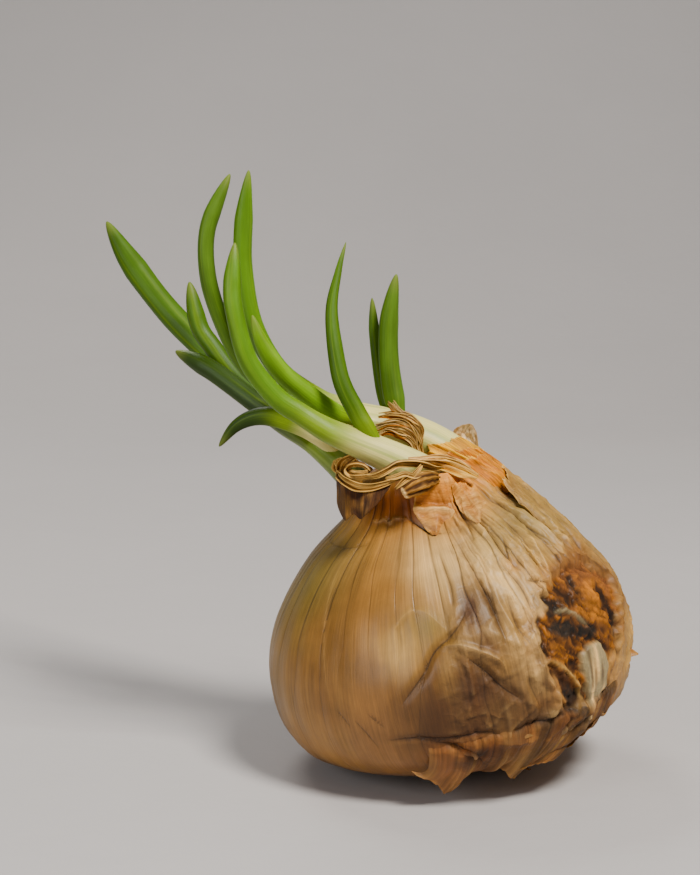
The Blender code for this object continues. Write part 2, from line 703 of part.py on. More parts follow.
def make_collar(finish):
    """The rolled husk, joined with its stub and its skirt."""
    rolled = tube_mesh(COLLAR_PATH, COLLAR_HALF, COLLAR_SIDES, COLLAR_STEP, COLLAR_LUMP)
    collar = add_object("husk_collar", rolled, finish)
    tear = ragged(12, SKIRT_TEAR, 9)

    def skirt(u, v):
        place = Vector(spline(SKIRT_TOP, u)).lerp(Vector(spline(SKIRT_HEM, u)), v)
        place.z += tear(u) * v
        return place

    stub = add_object("join_stub", tube_mesh(STUB_PATH, STUB_HALF, STUB_SIDES, STUB_STEP))
    hanging = add_object("join_skirt", sheet_mesh(skirt, SKIRT_COLUMNS, SKIRT_ROWS))
    return join(collar, [stub, hanging])


def make_sheath(finish):
    """The orange husk that wraps the foot of the upper shoot, torn at its mouth."""
    spec = SHOOTS["shaft_upper"]
    trace = Trace(spec["path"])
    tear = ragged(14, SHEATH_TEAR, 21)

    def point(u, v):
        mouth = spline(SHEATH_MOUTH, u)[0] - tear(u)
        along = SHEATH_START + (mouth - SHEATH_START) * v
        half_up, half_side = spline(spec["half"], along / trace.length)
        angle = SHEATH_TURNS[0] + (SHEATH_TURNS[1] - SHEATH_TURNS[0]) * u
        ahead = (trace.at(along + 1.0) - trace.at(along - 1.0)).normalized()
        side = (ACROSS - ahead * ACROSS.dot(ahead)).normalized()
        up = ahead.cross(side)
        place = trace.at(along) + up * ((half_up + SHEATH_PROUD) * math.cos(angle))
        return place + side * ((half_side + SHEATH_PROUD) * math.sin(angle))

    return add_object("husk_orange", sheet_mesh(point, SHEATH_COLUMNS, SHEATH_ROWS), finish)


def make_tuft(finish):
    """Flat blades that rise from one foot between the shoots and bend to the left."""
    tuft = add_object("husk_tuft", tube_mesh(TUFT_FOOT, TUFT_FOOT_HALF, BLADE_SIDES, TUFT_STEP), finish)
    blades = []
    for i, path in enumerate(TUFT_BLADES):
        blades.append(add_object(f"join_blade_{i}", tube_mesh(path, TUFT_BLADE_HALF, BLADE_SIDES, TUFT_STEP)))
    return join(tuft, blades)


def make_wing(finish):
    """The thin scrap that stands behind the upper shoot."""
    def point(u, v):
        place = Vector(spline(WING_FOOT, u)).lerp(Vector(spline(WING_TOP, u)), v)
        place.y += WING_BULGE * math.sin(math.pi * v)
        return place

    return add_object("husk_wing", sheet_mesh(point, WING_COLUMNS, WING_ROWS), finish)


def make_root_plate(finish):
    """The hard plate under the bulb and its dry roots, which lie in the wedge above the floor."""
    draw = random.Random(11)
    plate = bmesh.new()
    rings = []
    turn = 2 * math.pi / PLATE_SIDES
    for height in PLATE_FACES:
        rings.append([
            ROOT + AXIS * height + (SIDE * math.cos(turn * i) + ACROSS * math.sin(turn * i)) * PLATE_RADIUS
            for i in range(PLATE_SIDES)
        ])
    skin_rings(plate, rings)
    made = add_object("root_plate", plate, finish)
    outwards, up = ROOT_START
    halves = ((ROOT_THICK, ROOT_THICK), (0.7 * ROOT_THICK, 0.7 * ROOT_THICK))
    roots = []
    for i in range(ROOT_COUNT):
        bearing = math.radians(ROOT_FAN * ((i + 0.3 * draw.random()) / (ROOT_COUNT - 1) - 0.5))
        out = Vector((math.cos(bearing), math.sin(bearing), 0.0))
        reach = ROOT_REACH[0] + (ROOT_REACH[1] - ROOT_REACH[0]) * draw.random()
        start = ROOT + AXIS * (PLATE_FACES[1] + up) + out * outwards
        bend = ROOT + out * ROOT_BEND + Vector((0.0, 0.0, ROOT_LEVEL))
        end = ROOT + out * reach + Vector((0.0, 0.0, ROOT_LEVEL + 0.8 * draw.random()))
        roots.append(add_object(f"root_{i}", tube_mesh((start, bend, end), halves, ROOT_SIDES, ROOT_STEP)))
    return join(made, roots)


def clear_scene():
    for stale in list(bpy.data.objects):
        bpy.data.objects.remove(stale, do_unlink=True)


def main():
    clear_scene()
    finishes = {kind: material(kind, 0.5) for kind in COLOURS}
    bulb = make_bulb(finishes["bulb"])
    shoots = {}
    for name, spec in SHOOTS.items():
        shoots[name] = add_object(name, shoot_mesh(spec), finishes["shoot"])
        cut(bulb, hide_cutter(add_object("cut_" + name, shoot_mesh(spec, GAP))))
    for name, spec in LEAVES.items():
        add_object(name, leaf_mesh(spec), finishes["leaf"])
        cut(shoots[spec["shoot"]], hide_cutter(add_object("cut_" + name, leaf_mesh(spec, GAP))))
    neighbours = [hide_cutter(add_object("cut_bulb", bulb_mesh(GAP)))]
    neighbours += [bpy.data.objects["cut_" + name] for name in SHOOTS]
    cut(make_outer_skin(finishes["skin"]), *neighbours[1:])
    make_flap(finishes["skin"])
    make_scrap(finishes["skin"])
    make_root_plate(finishes["root"])
    for make_husk in (make_collar, make_sheath, make_tuft, make_wing):
        husk = make_husk(finishes["husk"])
        cut(husk, *neighbours)
        settle(husk)


main()
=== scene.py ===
"""How the sprouting onion looks: its skin, its husks, its shoots and its leaves.

The frame gives the place of every solid. The shapes below repeat the part's own driving sizes, in
millimetres, and are scaled once, where a mesh is made. Angles round the bulb are in degrees in the
tables: 0 is to the right, 90 to the back and -90 to the front.
"""

import itertools
import math

import bpy
import numpy as np
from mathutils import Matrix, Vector


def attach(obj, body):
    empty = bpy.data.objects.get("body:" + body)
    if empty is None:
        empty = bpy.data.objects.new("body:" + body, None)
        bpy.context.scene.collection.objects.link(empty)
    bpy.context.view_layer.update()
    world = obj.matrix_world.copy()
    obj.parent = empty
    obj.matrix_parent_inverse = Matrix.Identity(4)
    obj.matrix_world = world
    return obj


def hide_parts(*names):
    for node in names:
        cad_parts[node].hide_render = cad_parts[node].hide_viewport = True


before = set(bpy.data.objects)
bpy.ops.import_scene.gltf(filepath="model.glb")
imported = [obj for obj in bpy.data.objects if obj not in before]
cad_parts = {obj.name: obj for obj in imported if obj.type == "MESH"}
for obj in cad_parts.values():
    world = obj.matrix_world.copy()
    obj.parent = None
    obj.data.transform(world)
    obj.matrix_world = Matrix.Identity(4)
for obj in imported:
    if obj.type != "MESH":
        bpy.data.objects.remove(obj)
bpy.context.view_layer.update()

MM = 0.001
ACROSS = np.array((0.0, 1.0, 0.0))

# The bulb leans to the left about its root plate.
LEAN = math.radians(12.0)
ROOT = np.array((9.0, 0.0, -3.2))
AXIS = np.array((-math.sin(LEAN), 0.0, math.cos(LEAN)))
SIDE = np.array((math.cos(LEAN), 0.0, math.sin(LEAN)))

# Height along the axis, then the bulb's reach to the left, right, front and back.
BULB_ROWS = (
    (6.4, 0.0, 0.0, 0.0, 0.0),
    (6.3, 3.8, 4.6, 3.8, 3.8),
    (5.2, 4.8, 7.0, 4.8, 4.8),
    (4.1, 5.8, 9.4, 6.2, 6.2),
    (4.3, 8.0, 14.0, 11.0, 11.0),
    (5.4, 12.5, 20.6, 16.4, 16.4),
    (7.5, 19.5, 26.5, 23.0, 23.0),
    (9.6, 26.5, 31.0, 28.6, 28.6),
    (11.9, 33.0, 34.8, 33.6, 33.6),
    (14.8, 38.7, 38.2, 38.4, 38.4),
    (18.8, 43.0, 41.2, 42.3, 42.3),
    (24.5, 45.7, 43.5, 44.6, 44.6),
    (31.0, 46.6, 44.7, 45.6, 45.6),
    (38.0, 45.9, 44.6, 45.0, 45.0),
    (44.6, 43.9, 42.4, 42.6, 42.6),
    (51.3, 40.5, 38.0, 38.6, 38.6),
    (57.8, 35.6, 33.2, 33.2, 33.2),
    (63.0, 30.6, 29.0, 27.2, 27.2),
    (67.0, 25.2, 25.2, 21.0, 21.0),
    (70.2, 20.4, 21.4, 16.8, 16.4),
    (73.4, 17.0, 18.4, 14.8, 13.6),
    (77.0, 14.4, 14.0, 13.8, 12.0),
    (80.2, 11.4, 9.6, 12.0, 10.0),
    (82.0, 6.0, 5.0, 6.6, 5.6),
    (82.4, 0.0, 0.0, 0.0, 0.0),
)
DENTS = (
    ((-10.0, -40.0, 41.8), 6.5, -1.1),
    ((-20.0, -34.0, 46.8), 9.0, 0.7),
    ((9.0, -42.0, 40.8), 6.0, 0.9),
    ((30.0, -31.0, 39.8), 10.0, -1.5),
    ((38.0, -24.0, 26.8), 9.0, -0.8),
    ((12.0, -43.0, 18.8), 9.0, -0.8),
    ((-14.0, 40.0, 36.8), 11.0, -1.0),
    ((24.0, 34.0, 44.8), 12.0, 0.9),
)

# Folds and lines of the skin: half width, height (below 0 is a groove), how dark the line is (below 0 is
# pale), which paints shade in a groove and a highlight on a ridge, and the places it runs through, as angle
# and height along the axis.
FOLDS = (
    (1.0, 0.9, -0.55, ((-93, 45.3), (-87, 44.4), (-81, 42.0), (-76, 39.0), (-75, 35.4))),
    (0.7, 0.5, -0.35, ((-86, 43.9), (-86, 37.4), (-86, 29.2))),
    (1.2, -0.6, 0.9, ((-82, 51.2), (-87, 47.8), (-95, 44.4), (-99, 40.4), (-104, 36.4), (-107, 34.0))),
    (1.4, -0.8, 0.9, ((-86, 41.9), (-81, 37.6), (-77, 32.8), (-72, 28.6))),
    (0.7, -0.5, 0.9, ((-58, 73.1), (-61, 69.0), (-66, 64.0))),
    (0.8, -0.7, 1.0, ((-53, 69.2), (-57, 61.6), (-56, 56.5))),
    (0.9, -0.7, 0.8, ((-75, 66.4), (-74, 59.7), (-73, 52.7), (-73, 46.4), (-73, 41.8))),
    (0.6, -0.4, 0.6, ((-86, 63.1), (-85, 56.8), (-86, 52.8))),
    (1.3, -0.8, 0.6, ((-42, 65.2), (-45, 58.1), (-47, 52.9))),
    (0.8, 0.6, -0.4, ((-38, 63.2), (-42, 57.1), (-45, 51.9))),
    (0.8, -0.5, 0.7, ((-62, 57.9), (-59, 52.8), (-60, 47.3))),
    (0.9, -1.0, 1.0, ((-12, 74.5), (-16, 71.7), (-21, 68.2), (-21, 65.0), (-20, 61.2), (-18, 57.5))),
    (1.1, 0.6, -0.5, ((-21, 60.1), (-16, 55.2), (-15, 51.0))),
    (1.1, 0.8, -0.45, ((-62, 38.5), (-63, 32.9), (-60, 27.3), (-62, 23.6), (-67, 20.7))),
    (1.2, -0.8, 0.5, ((-68, 38.0), (-68, 31.0), (-66, 25.0))),
    (0.7, -0.6, 1.0, ((-114, 24.9), (-105, 24.7), (-99, 23.7), (-93, 23.3), (-86, 23.1), (-80, 21.0))),
    (0.9, 0.7, -0.5, ((-81, 19.8), (-73, 19.1), (-68, 18.9))),
    (1.0, -0.7, 1.0, ((-57, 18.6), (-50, 18.0), (-42, 20.0), (-36, 22.0))),
    (0.8, -0.7, 1.0, ((-25, 44.0), (-26, 38.1), (-28, 32.2), (-29, 27.5))),
    (1.0, -0.9, 1.0, ((-101, 23.2), (-96, 21.6), (-91, 19.8), (-86, 17.6), (-82, 15.4))),
    (0.8, 0.15, -0.3, ((-107, 44.0), (-108, 48.0), (-107, 50.9), (-102, 53.3), (-96, 52.6), (-90, 48.2))),
    (0.7, 0.06, -0.3, ((-141, 64.4), (-138, 55.0), (-135, 46.9), (-132, 35.6))),
    (0.8, -0.15, 0.4, ((-177, 67.8), (-160, 66.9), (-142, 66.5), (-130, 66.9))),
    (0.8, -0.6, 0.9, ((-105, 71.4), (-96, 69.4), (-87, 67.6), (-80, 66.6))),
    (0.5, 0.25, -0.9, ((-136, 71.4), (-130, 71.0), (-124, 71.3), (-118, 70.5), (-115, 71.3), (-104, 70.9))),
    (0.6, -0.4, 0.8, ((-8, 66.0), (-10, 58.0), (-14, 51.0))),
    (0.6, -0.4, 0.8, ((0, 64.0), (-2, 55.0), (-6, 46.0))),
    (0.6, -0.4, 0.7, ((-31, 70.0), (-32, 64.0), (-30, 57.0))),
    (0.6, 0.4, -0.5, ((-14, 64.0), (-17, 58.0), (-20, 54.0))),
    (0.6, -0.5, 0.8, ((-12, 37.0), (-17, 30.0), (-24, 23.0))),
    (0.6, 0.5, -0.4, ((-9, 35.0), (-14, 28.0), (-21, 21.0))),
    (0.5, -0.1, 0.6, ((-130, 33.0), (-128, 31.0), (-126.5, 29.0))),
    (0.5, -0.1, 0.6, ((-124, 30.4), (-121, 27.0), (-119, 23.5))),
    (0.5, -0.1, 0.6, ((-119, 31.8), (-117, 30.2), (-115, 28.6))),
    (0.5, -0.3, 0.8, ((-52, 62.6), (-55, 60.0), (-57, 58.3))),
    (0.5, 0.4, -0.6, ((-44, 62.6), (-44, 58.0), (-46, 53.0))),
    (0.8, -0.6, 1.0, ((-76, 21.0), (-67, 21.7), (-59, 22.0))),
    (0.8, -0.6, 1.0, ((-55, 14.8), (-47, 15.3), (-35, 16.9))),
    (0.6, 1.2, -0.9, ((-62, 38.3), (-60, 36.9), (-57, 31.9), (-52, 27.4), (-49, 22.7), (-52, 19.5))),
    (0.6, -0.4, 0.9, ((-55, 53.5), (-50, 51.8), (-45, 48.6))),
    (0.5, -0.3, 0.8, ((-33, 59.0), (-37, 52.0), (-41, 46.5))),
    (1.2, 0.7, -0.35, ((-50, 56.0), (-52, 50.0), (-55, 45.0), (-57, 41.0))),
    (0.9, -0.6, 0.6, ((-66, 52.0), (-67, 46.0), (-65, 40.5))),
    (1.0, 0.6, -0.3, ((-70, 56.0), (-70, 50.0), (-69, 44.0), (-70, 38.0))),
    (0.8, -0.5, 0.5, ((-30, 68.0), (-33, 62.0), (-34, 57.0))),
    (0.8, 0.5, -0.35, ((-25, 66.0), (-27, 60.0), (-27, 55.0))),
)

# The rotten hollow on the right: its outline, then what lies in it.
CRATER = (
    (-56.5, 49.0), (-49, 51.4), (-40, 53.0), (-33, 54.2), (-22, 52.4), (-13, 49.0), (-11, 44.5),
    (-15, 40.0), (-22, 36.5), (-27, 31.5), (-31, 27.5), (-37, 21.5), (-48, 20.6), (-57, 21.5),
    (-61, 25.5), (-62.5, 32.0), (-63, 38.6), (-61.5, 44.0),
)
CRATER_DEPTH = 1.6
# The pale scale of the onion that shows in the hollow.
SCALE = (
    (-50.5, 31.4), (-48.5, 34.4), (-43, 35.6), (-37.5, 34.4), (-34, 29.0), (-35.5, 23.0), (-40, 18.4),
    (-45.0, 14.4), (-47.0, 16.0), (-47.5, 22.0), (-49.5, 27.6),
)
# Cords of dried tissue in the hollow: their points and colour.
CORDS = (
    (((-62.0, 36.0), (-57.5, 34.0), (-53.5, 30.4), (-51.0, 26.0), (-49.4, 20.5)), "tan"),
    (((-59.5, 32.0), (-58.5, 27.0), (-56.0, 22.5)), "amber"),
    (((-51.0, 45.4), (-45.5, 44.4), (-40.0, 39.8)), "grey_green"),
    (((-30.0, 52.0), (-23.0, 47.0), (-21.5, 40.0), (-25.0, 35.0)), "rust"),
)
# Patches of colour in the hollow: angle, height, half the breadth, half the length, colour, how strong.
ROT_PATCHES = (
    (-28, 50.0, 8.0, 4.0, "rust", 0.6),
    (-16, 46.0, 4.0, 5.0, "rust", 0.8),
    (-61, 41.0, 2.2, 9.0, "dark", 0.8),
    (-50, 46.0, 5.0, 2.2, "mould", 0.9),
    (-36, 48.0, 2.0, 4.0, "mould", 0.8),
    (-50, 40.6, 4.6, 3.0, "mould", 0.95),
    (-41, 38.6, 5.4, 2.2, "mould", 0.95),
    (-33, 43.0, 4.5, 5.0, "orange", 0.4),
    (-27, 45.4, 3.5, 3.5, "orange", 0.3),
    (-56, 35.6, 4.4, 4.0, "rot_orange", 0.6),
    (-57, 29.0, 4.0, 4.6, "umber", 0.95),
    (-54, 23.6, 6.0, 3.4, "mould", 0.85),
    (-25, 38.0, 1.8, 9.0, "dark", 0.95),
    (-31, 25.0, 4.0, 4.0, "tan", 0.7),
)
# The dry thorn on the right: its foot and its tip, and its width at the foot.
THORN = np.array(((43.6, -12.6, 31.4), (47.3, -12.2, 30.6)))
THORN_WIDTH = 3.4

COLOURS = {
    "gold": (124, 84, 30),
    "amber": (168, 114, 48),
    "tan": (176, 134, 66),
    "cream": (226, 182, 112),
    "pale": (150, 116, 60),
    "olive": (110, 96, 34),
    "sage": (142, 116, 56),
    "pink": (140, 94, 52),
    "plum": (76, 46, 20),
    "umber": (66, 38, 14),
    "dark": (36, 20, 8),
    "rust": (132, 76, 26),
    "orange": (190, 112, 2),
    "peach": (184, 124, 50),
    "mould": (26, 23, 18),
    "grey_green": (140, 122, 84),
    "straw": (166, 114, 42),
    "straw_pale": (216, 168, 84),
    "straw_dark": (66, 38, 12),
    "husk_orange": (190, 108, 0),
    "husk_gold": (230, 166, 16),
    "husk_red": (144, 74, 0),
    "shoot_white": (220, 208, 126),
    "shoot_green": (140, 156, 70),
    "shoot_grey": (84, 86, 50),
    "leaf_young": (114, 140, 0),
    "leaf_bright": (114, 160, 0),
    "leaf_green": (84, 126, 0),
    "husk_glow": (228, 138, 0),
    "leaf_deep": (66, 100, 0),
    "leaf_cool": (76, 108, 16),
    "leaf_dark": (40, 62, 0),
    "leaf_tip": (120, 130, 50),
    "root": (66, 42, 20),
    "column": (150, 76, 2),
    "rot": (104, 58, 6),
    "rot_orange": (136, 78, 0),
    "film": (232, 200, 158),
}

# Patches of colour on the skin: angle, height, half its breadth, half its length, colour, how strong.
PATCHES = (
    (-152, 61, 13, 9, "olive", 0.8),
    (-172, 54, 16, 16, "olive", 0.6),
    (-128, 24, 16, 9, "tan", 0.4),
    (-137, 63, 9, 5, "pale", 0.35),
    (-160, 33, 18, 16, "pale", 0.4),
    (-132, 46, 9, 16, "gold", 0.6),
    (-118, 26, 16, 11, "pink", 0.6),
    (-100, 14, 22, 8, "pink", 0.5),
    (-117, 58, 7, 11, "gold", 0.7),
    (-106, 64, 9, 7, "amber", 0.6),
    (-99, 63, 5, 6, "gold", 0.45),
    # The pale dent: pale skin, partly a painted highlight.
    (-105, 46, 6, 6, "tan", 0.85),
    (-107, 44, 4, 4, "cream", 0.2),
    (-95, 50, 5, 4, "olive", 0.6),
    (-95, 58, 5, 4, "gold", 0.5),
    # Cream below the neck: pale skin, partly a painted highlight.
    (-88, 62, 7, 8, "cream", 0.75),
    (-83, 57, 4, 5, "cream", 0.6),
    (-68, 57, 6, 9, "cream", 0.7),
    (-58, 49, 5, 9, "cream", 0.85),
    (-72, 46, 5, 5, "tan", 0.6),
    (-66, 34, 6, 7, "cream", 0.65),
    # The purple-brown pocket: its own colour, darkened by painted shade.
    (-79, 50, 6, 8, "plum", 1.0),
    (-79, 51, 4, 5, "umber", 0.7),
    (-80, 43, 5, 3, "plum", 0.6),
    (-57, 57.5, 2, 2, "orange", 0.55),
    (-60, 62, 6, 5, "sage", 0.5),
    # Umber low at the front: painted shade in the hollow there.
    (-97, 30, 9, 9, "umber", 0.85),
    (-84, 34, 10, 9, "umber", 0.95),
    (-73, 28, 8, 8, "umber", 0.75),
    (-90, 24, 13, 5, "umber", 0.85),
    (-70, 22, 7, 4, "plum", 0.6),
    (-60, 72, 8, 4, "peach", 0.9),
    (-75, 70, 8, 4, "peach", 0.8),
    (-40, 70, 9, 3, "peach", 0.7),
    (-46, 74, 9, 3.2, "husk_glow", 0.95),
    (-28, 74, 8, 4.5, "husk_glow", 0.9),
    (-12, 70, 5, 4, "husk_red", 0.5),
    (-92, 73, 8, 3, "column", 0.9),
    (-108, 74, 9, 3.4, "column", 0.95),
    (-122, 75, 9, 3.5, "column", 0.8),
    (-140, 74, 9, 3, "umber", 0.6),
    (-125, 69, 8, 2.5, "amber", 0.5),
    (-33, 64, 9, 6, "sage", 0.7),
    (-36, 58, 8, 5, "tan", 0.6),
    (-15, 62, 12, 12, "sage", 0.75),
    (10, 60, 14, 14, "sage", 0.7),
    (30, 50, 16, 20, "sage", 0.5),
    (-20, 53, 7, 4, "rust", 0.6),
    (-36, 52, 8, 3, "rust", 0.6),
    (-12, 42, 8, 12, "rust", 0.35),
    (-14, 28, 8, 10, "tan", 0.5),
    (-28, 20, 8, 6, "rust", 0.4),
    (-64, 21.5, 7, 1.8, "mould", 0.75),
    (-56, 19.6, 5, 3, "mould", 0.85),
    (-45, 16.5, 9, 2.6, "mould", 0.8),
    (-36, 18.5, 5, 2, "mould", 0.6),
    # Above the flap: red-brown at the tear, partly its colour, and dark, a painted shade of the opening
    # under the skin.
    (-90, 19, 9, 2.5, "husk_red", 0.9),
    (-89, 18, 6, 1.5, "dark", 0.7),
)

# A shoot: the points of its middle, then half its thickness and half its breadth at a few places.
SHOOTS = {
    "shaft_front": {
        "path": (
            (5.5, -3.0, 61.8), (2.0, -4.4, 67.8), (-1.5, -6.0, 71.6), (-5.5, -7.6, 74.6),
            (-10.0, -9.0, 77.4), (-15.0, -10.2, 80.0), (-20.0, -11.4, 82.4), (-24.8, -12.8, 84.7),
            (-29.5, -14.0, 86.8),
        ),
        "half": ((4.8, 4.8), (5.0, 4.8), (4.3, 4.4), (3.6, 4.0), (3.0, 3.3)),
    },
    "shaft_upper": {
        "path": (
            (16.0, 1.0, 58.8), (14.0, 1.6, 64.8), (10.5, 2.6, 69.8), (5.0, 3.8, 74.8), (-0.5, 4.6, 78.8),
            (-6.0, 5.4, 81.8), (-11.0, 5.8, 83.8), (-16.5, 5.8, 85.4), (-22.0, 5.7, 87.0),
            (-26.0, 5.6, 88.4),
        ),
        "half": ((4.6, 4.8), (5.2, 5.2), (4.8, 5.6), (4.1, 6.4), (3.2, 7.0)),
    },
    "shaft_back": {
        "path": (
            (-10.5, 2.6, 56.8), (-14.5, 4.8, 62.8), (-19.0, 7.0, 67.2), (-23.5, 9.2, 71.6),
            (-28.0, 11.8, 75.8), (-33.0, 14.6, 79.6), (-38.5, 17.2, 83.0),
        ),
        "half": ((4.0, 4.0), (4.2, 4.2), (3.9, 4.8), (3.6, 5.8), (3.1, 7.0)),
    },
}
# A leaf: the points of its middle, its width at the foot and near the tip, how long the tip is, how far
# from its foot it turns from pale to green, the colour of its foot and the colour of its blade.
LEAVES = {
    "leaf_front_main": {
        "width": (5.4, 4.2), "tip": 9.0, "turn": (-14.0, 26.0), "foot": "shoot_white", "tone": "leaf_green",
        "path": (
            (-25.0, -12.8, 84.8), (-29.5, -14.0, 87.1), (-35.5, -14.2, 90.8), (-41.5, -15.0, 95.2),
            (-48.0, -16.0, 104.3), (-51.0, -15.4, 115.8), (-51.5, -14.0, 122.8), (-51.0, -12.0, 131.8),
        ),
    },
    "leaf_front_inner": {
        "width": (5.2, 2.7), "tip": 26.0, "turn": (-4.0, 22.0), "foot": "leaf_young", "tone": "leaf_deep",
        "path": (
            (-13.0, -10.2, 79.4), (-16.5, -11.0, 82.4), (-19.4, -12.0, 86.4), (-22.0, -11.5, 90.8),
            (-26.0, -10.0, 99.8), (-28.0, -6.0, 113.8), (-26.4, -2.6, 123.8), (-24.5, 0.0, 130.8),
        ),
    },
    "leaf_tall_right": {
        "width": (5.4, 4.2), "tip": 12.0, "turn": (-6.0, 34.0), "foot": "shoot_white", "tone": "leaf_green",
        "path": (
            (-20.5, 5.6, 86.8), (-25.5, 5.3, 88.6), (-31.0, 4.2, 91.2), (-40.5, 2.5, 98.3),
            (-47.0, 1.5, 109.8), (-49.5, 0.5, 123.3), (-49.5, 0.0, 134.8), (-48.0, -1.0, 148.3),
        ),
    },
    # Its bright blade partly paints the light that shines through it.
    "leaf_inner_fold": {
        "width": (5.2, 4.4), "tip": 12.0, "turn": (-4.0, 16.0), "foot": "leaf_young", "tone": "leaf_bright",
        "path": (
            (-18.0, 1.3, 85.6), (-23.0, -0.9, 87.4), (-28.0, -3.6, 89.6), (-36.0, -6.0, 95.8),
            (-41.0, -7.0, 100.8), (-45.0, -7.5, 107.3), (-47.2, -7.5, 113.8),
        ),
    },
    "leaf_tall_left": {
        "width": (4.2, 4.0), "tip": 11.0, "turn": (0.0, 24.0), "foot": "shoot_green", "tone": "leaf_cool",
        "path": (
            (-20.5, 9.9, 86.2), (-27.0, 10.6, 87.5), (-33.5, 10.3, 88.8), (-41.0, 9.4, 91.6),
            (-49.5, 8.5, 98.8), (-55.0, 7.0, 109.8), (-58.5, 5.5, 121.8), (-58.5, 6.0, 133.8),
            (-53.0, 8.0, 146.8),
        ),
    },
    "leaf_right_tall": {
        "width": (5.6, 4.6), "tip": 12.0, "turn": (-6.0, 8.0), "foot": "leaf_young", "tone": "leaf_cool",
        "path": (
            (-7.0, 5.6, 81.8), (-10.0, 6.4, 84.8), (-12.2, 7.8, 89.3), (-13.8, 10.0, 99.8),
            (-13.8, 11.0, 110.8), (-12.0, 11.0, 121.8),
        ),
    },
    "leaf_right_short": {
        "width": (3.2, 2.6), "tip": 8.0, "turn": (-6.0, 8.0), "foot": "leaf_young", "tone": "leaf_cool",
        "path": (
            (-9.0, 9.2, 81.6), (-12.6, 10.6, 85.4), (-15.2, 13.0, 90.8), (-17.0, 15.0, 101.8),
            (-18.0, 15.5, 115.3),
        ),
    },
    # The back leaves, leaf_back_wide, leaf_back_short, leaf_far and leaf_hooked, have darker tones that
    # partly paint the shade they stand in.
    "leaf_back_wide": {
        "width": (5.6, 5.0), "tip": 9.0, "turn": (-22.0, 12.0), "foot": "shoot_grey", "tone": "leaf_dark",
        "path": (
            (-34.0, 12.9, 80.4), (-40.5, 14.2, 84.2), (-46.0, 16.5, 87.6), (-54.0, 21.0, 92.8),
            (-60.0, 24.6, 96.3), (-68.5, 30.0, 99.8),
        ),
    },
    "leaf_back_short": {
        "width": (5.2, 4.8), "tip": 9.0, "turn": (-4.0, 16.0), "foot": "shoot_green", "tone": "leaf_deep",
        "path": (
            (-34.0, 17.3, 80.2), (-41.0, 19.9, 84.0), (-46.5, 23.0, 88.0), (-53.5, 27.0, 93.8),
            (-59.0, 30.2, 100.8), (-62.6, 32.2, 106.3), (-65.0, 34.0, 117.3),
        ),
    },
    "leaf_far": {
        "width": (6.4, 6.6), "tip": 16.0, "turn": (-4.0, 20.0), "foot": "shoot_green", "tone": "leaf_deep",
        "path": (
            (-30.6, 16.4, 77.6), (-33.8, 20.8, 79.8), (-39.0, 25.0, 82.8), (-44.5, 29.0, 86.3),
            (-52.0, 34.0, 91.6), (-60.0, 39.0, 97.8), (-71.5, 46.0, 108.3), (-82.5, 54.0, 121.3),
            (-88.5, 58.0, 130.8),
        ),
    },
    "leaf_hooked": {
        "width": (5.4, 4.6), "tip": 17.0, "turn": (8.0, 30.0), "foot": "shoot_white", "tone": "leaf_dark",
        "path": (
            (-25.0, 9.6, 73.8), (-28.6, 8.0, 78.4), (-32.5, 7.2, 82.4), (-38.0, 7.4, 85.0),
            (-43.5, 8.2, 86.4), (-48.2, 9.2, 85.8), (-52.6, 10.2, 83.2), (-56.5, 11.0, 78.2),
        ),
    },
}
# Each shoot runs on into one of its leaves.
RUNS_ON = {
    "shaft_front": "leaf_front_main",
    "shaft_upper": "leaf_tall_right",
    "shaft_back": "leaf_back_wide",
}
# A leaf's foot stays slim for the first length and widens over the second. Then come its half width, how far
# it runs into the shoot, and how flat a leaf is.
SOCKET = 5.0
FLARE = 7.0
FOOT = 1.55
FOOT_REACH = 2.8
FLATNESS = 0.84

# The loose outer skin: angle, then the heights of its lower and upper edges. It is slit at the front right.
OUTER_SKIN_ROWS = (
    (-91.0, 46.0, 68.5), (-79.0, 41.5, 69.5), (-64.0, 44.0, 70.5), (-50.0, 51.5, 71.5), (-34.0, 50.5, 71.0),
    (-22.0, 46.0, 72.5), (-12.0, 37.0, 75.0), (6.0, 32.0, 73.0), (24.0, 30.0, 71.0), (44.0, 36.0, 69.5),
    (66.0, 44.0, 68.0),
)
# The slit's height, then its angle there.
SLIT = (
    (30.0, -12.0), (46.0, -15.0), (58.9, -18.0), (61.5, -20.0), (64.8, -23.0), (66.5, -23.0), (69.1, -19.0),
    (74.5, -12.0),
)
SKIN_CURL = 3.0
# How far the rim of a skin is sunk in the bulb.
RIM_SINK = 0.35
# The flap of skin low on the right: the angles that it spans, the height of its top, how deep the top is
# torn, how far down it goes on the bulb, and its hem.
FLAP_ANGLES = (-103.0, -28.0)
FLAP_TOP = 21.5
FLAP_TEAR = 1.6
FLAP_DROP = 10.6
FLAP_HEM = (
    (-9.0, -41.0, 8.8), (-3.5, -39.0, 6.3), (-0.3, -34.0, 2.4), (3.8, -37.2, 7.4), (8.8, -36.4, 8.0),
    (12.8, -35.6, 8.4), (15.1, -33.6, 5.8), (17.6, -34.6, 8.4), (21.4, -33.0, 9.2), (25.4, -31.0, 10.0),
    (29.4, -28.8, 12.2), (33.6, -26.6, 15.6), (38.0, -24.0, 18.8),
)

# Two sheets over the front of the neck: rows from top to bottom, each the angle and height of its left and
# right ends.
SCRAP_ROWS = (
    (-80, 78.6, -46, 77.6), (-88, 77.6, -49, 75.2), (-93, 76.0, -57, 72.7), (-96, 73.6, -62, 71.2),
    (-97, 71.2, -66, 69.8), (-93, 69.2, -75, 68.3), (-87, 66.6, -84, 66.4),
)
TONGUE_ROWS = (
    (-60, 75.0, -42, 76.2), (-61, 72.6, -37, 73.2), (-62, 70.6, -36, 70.8), (-61, 68.4, -45, 68.7),
    (-59, 66.4, -54, 66.6),
)

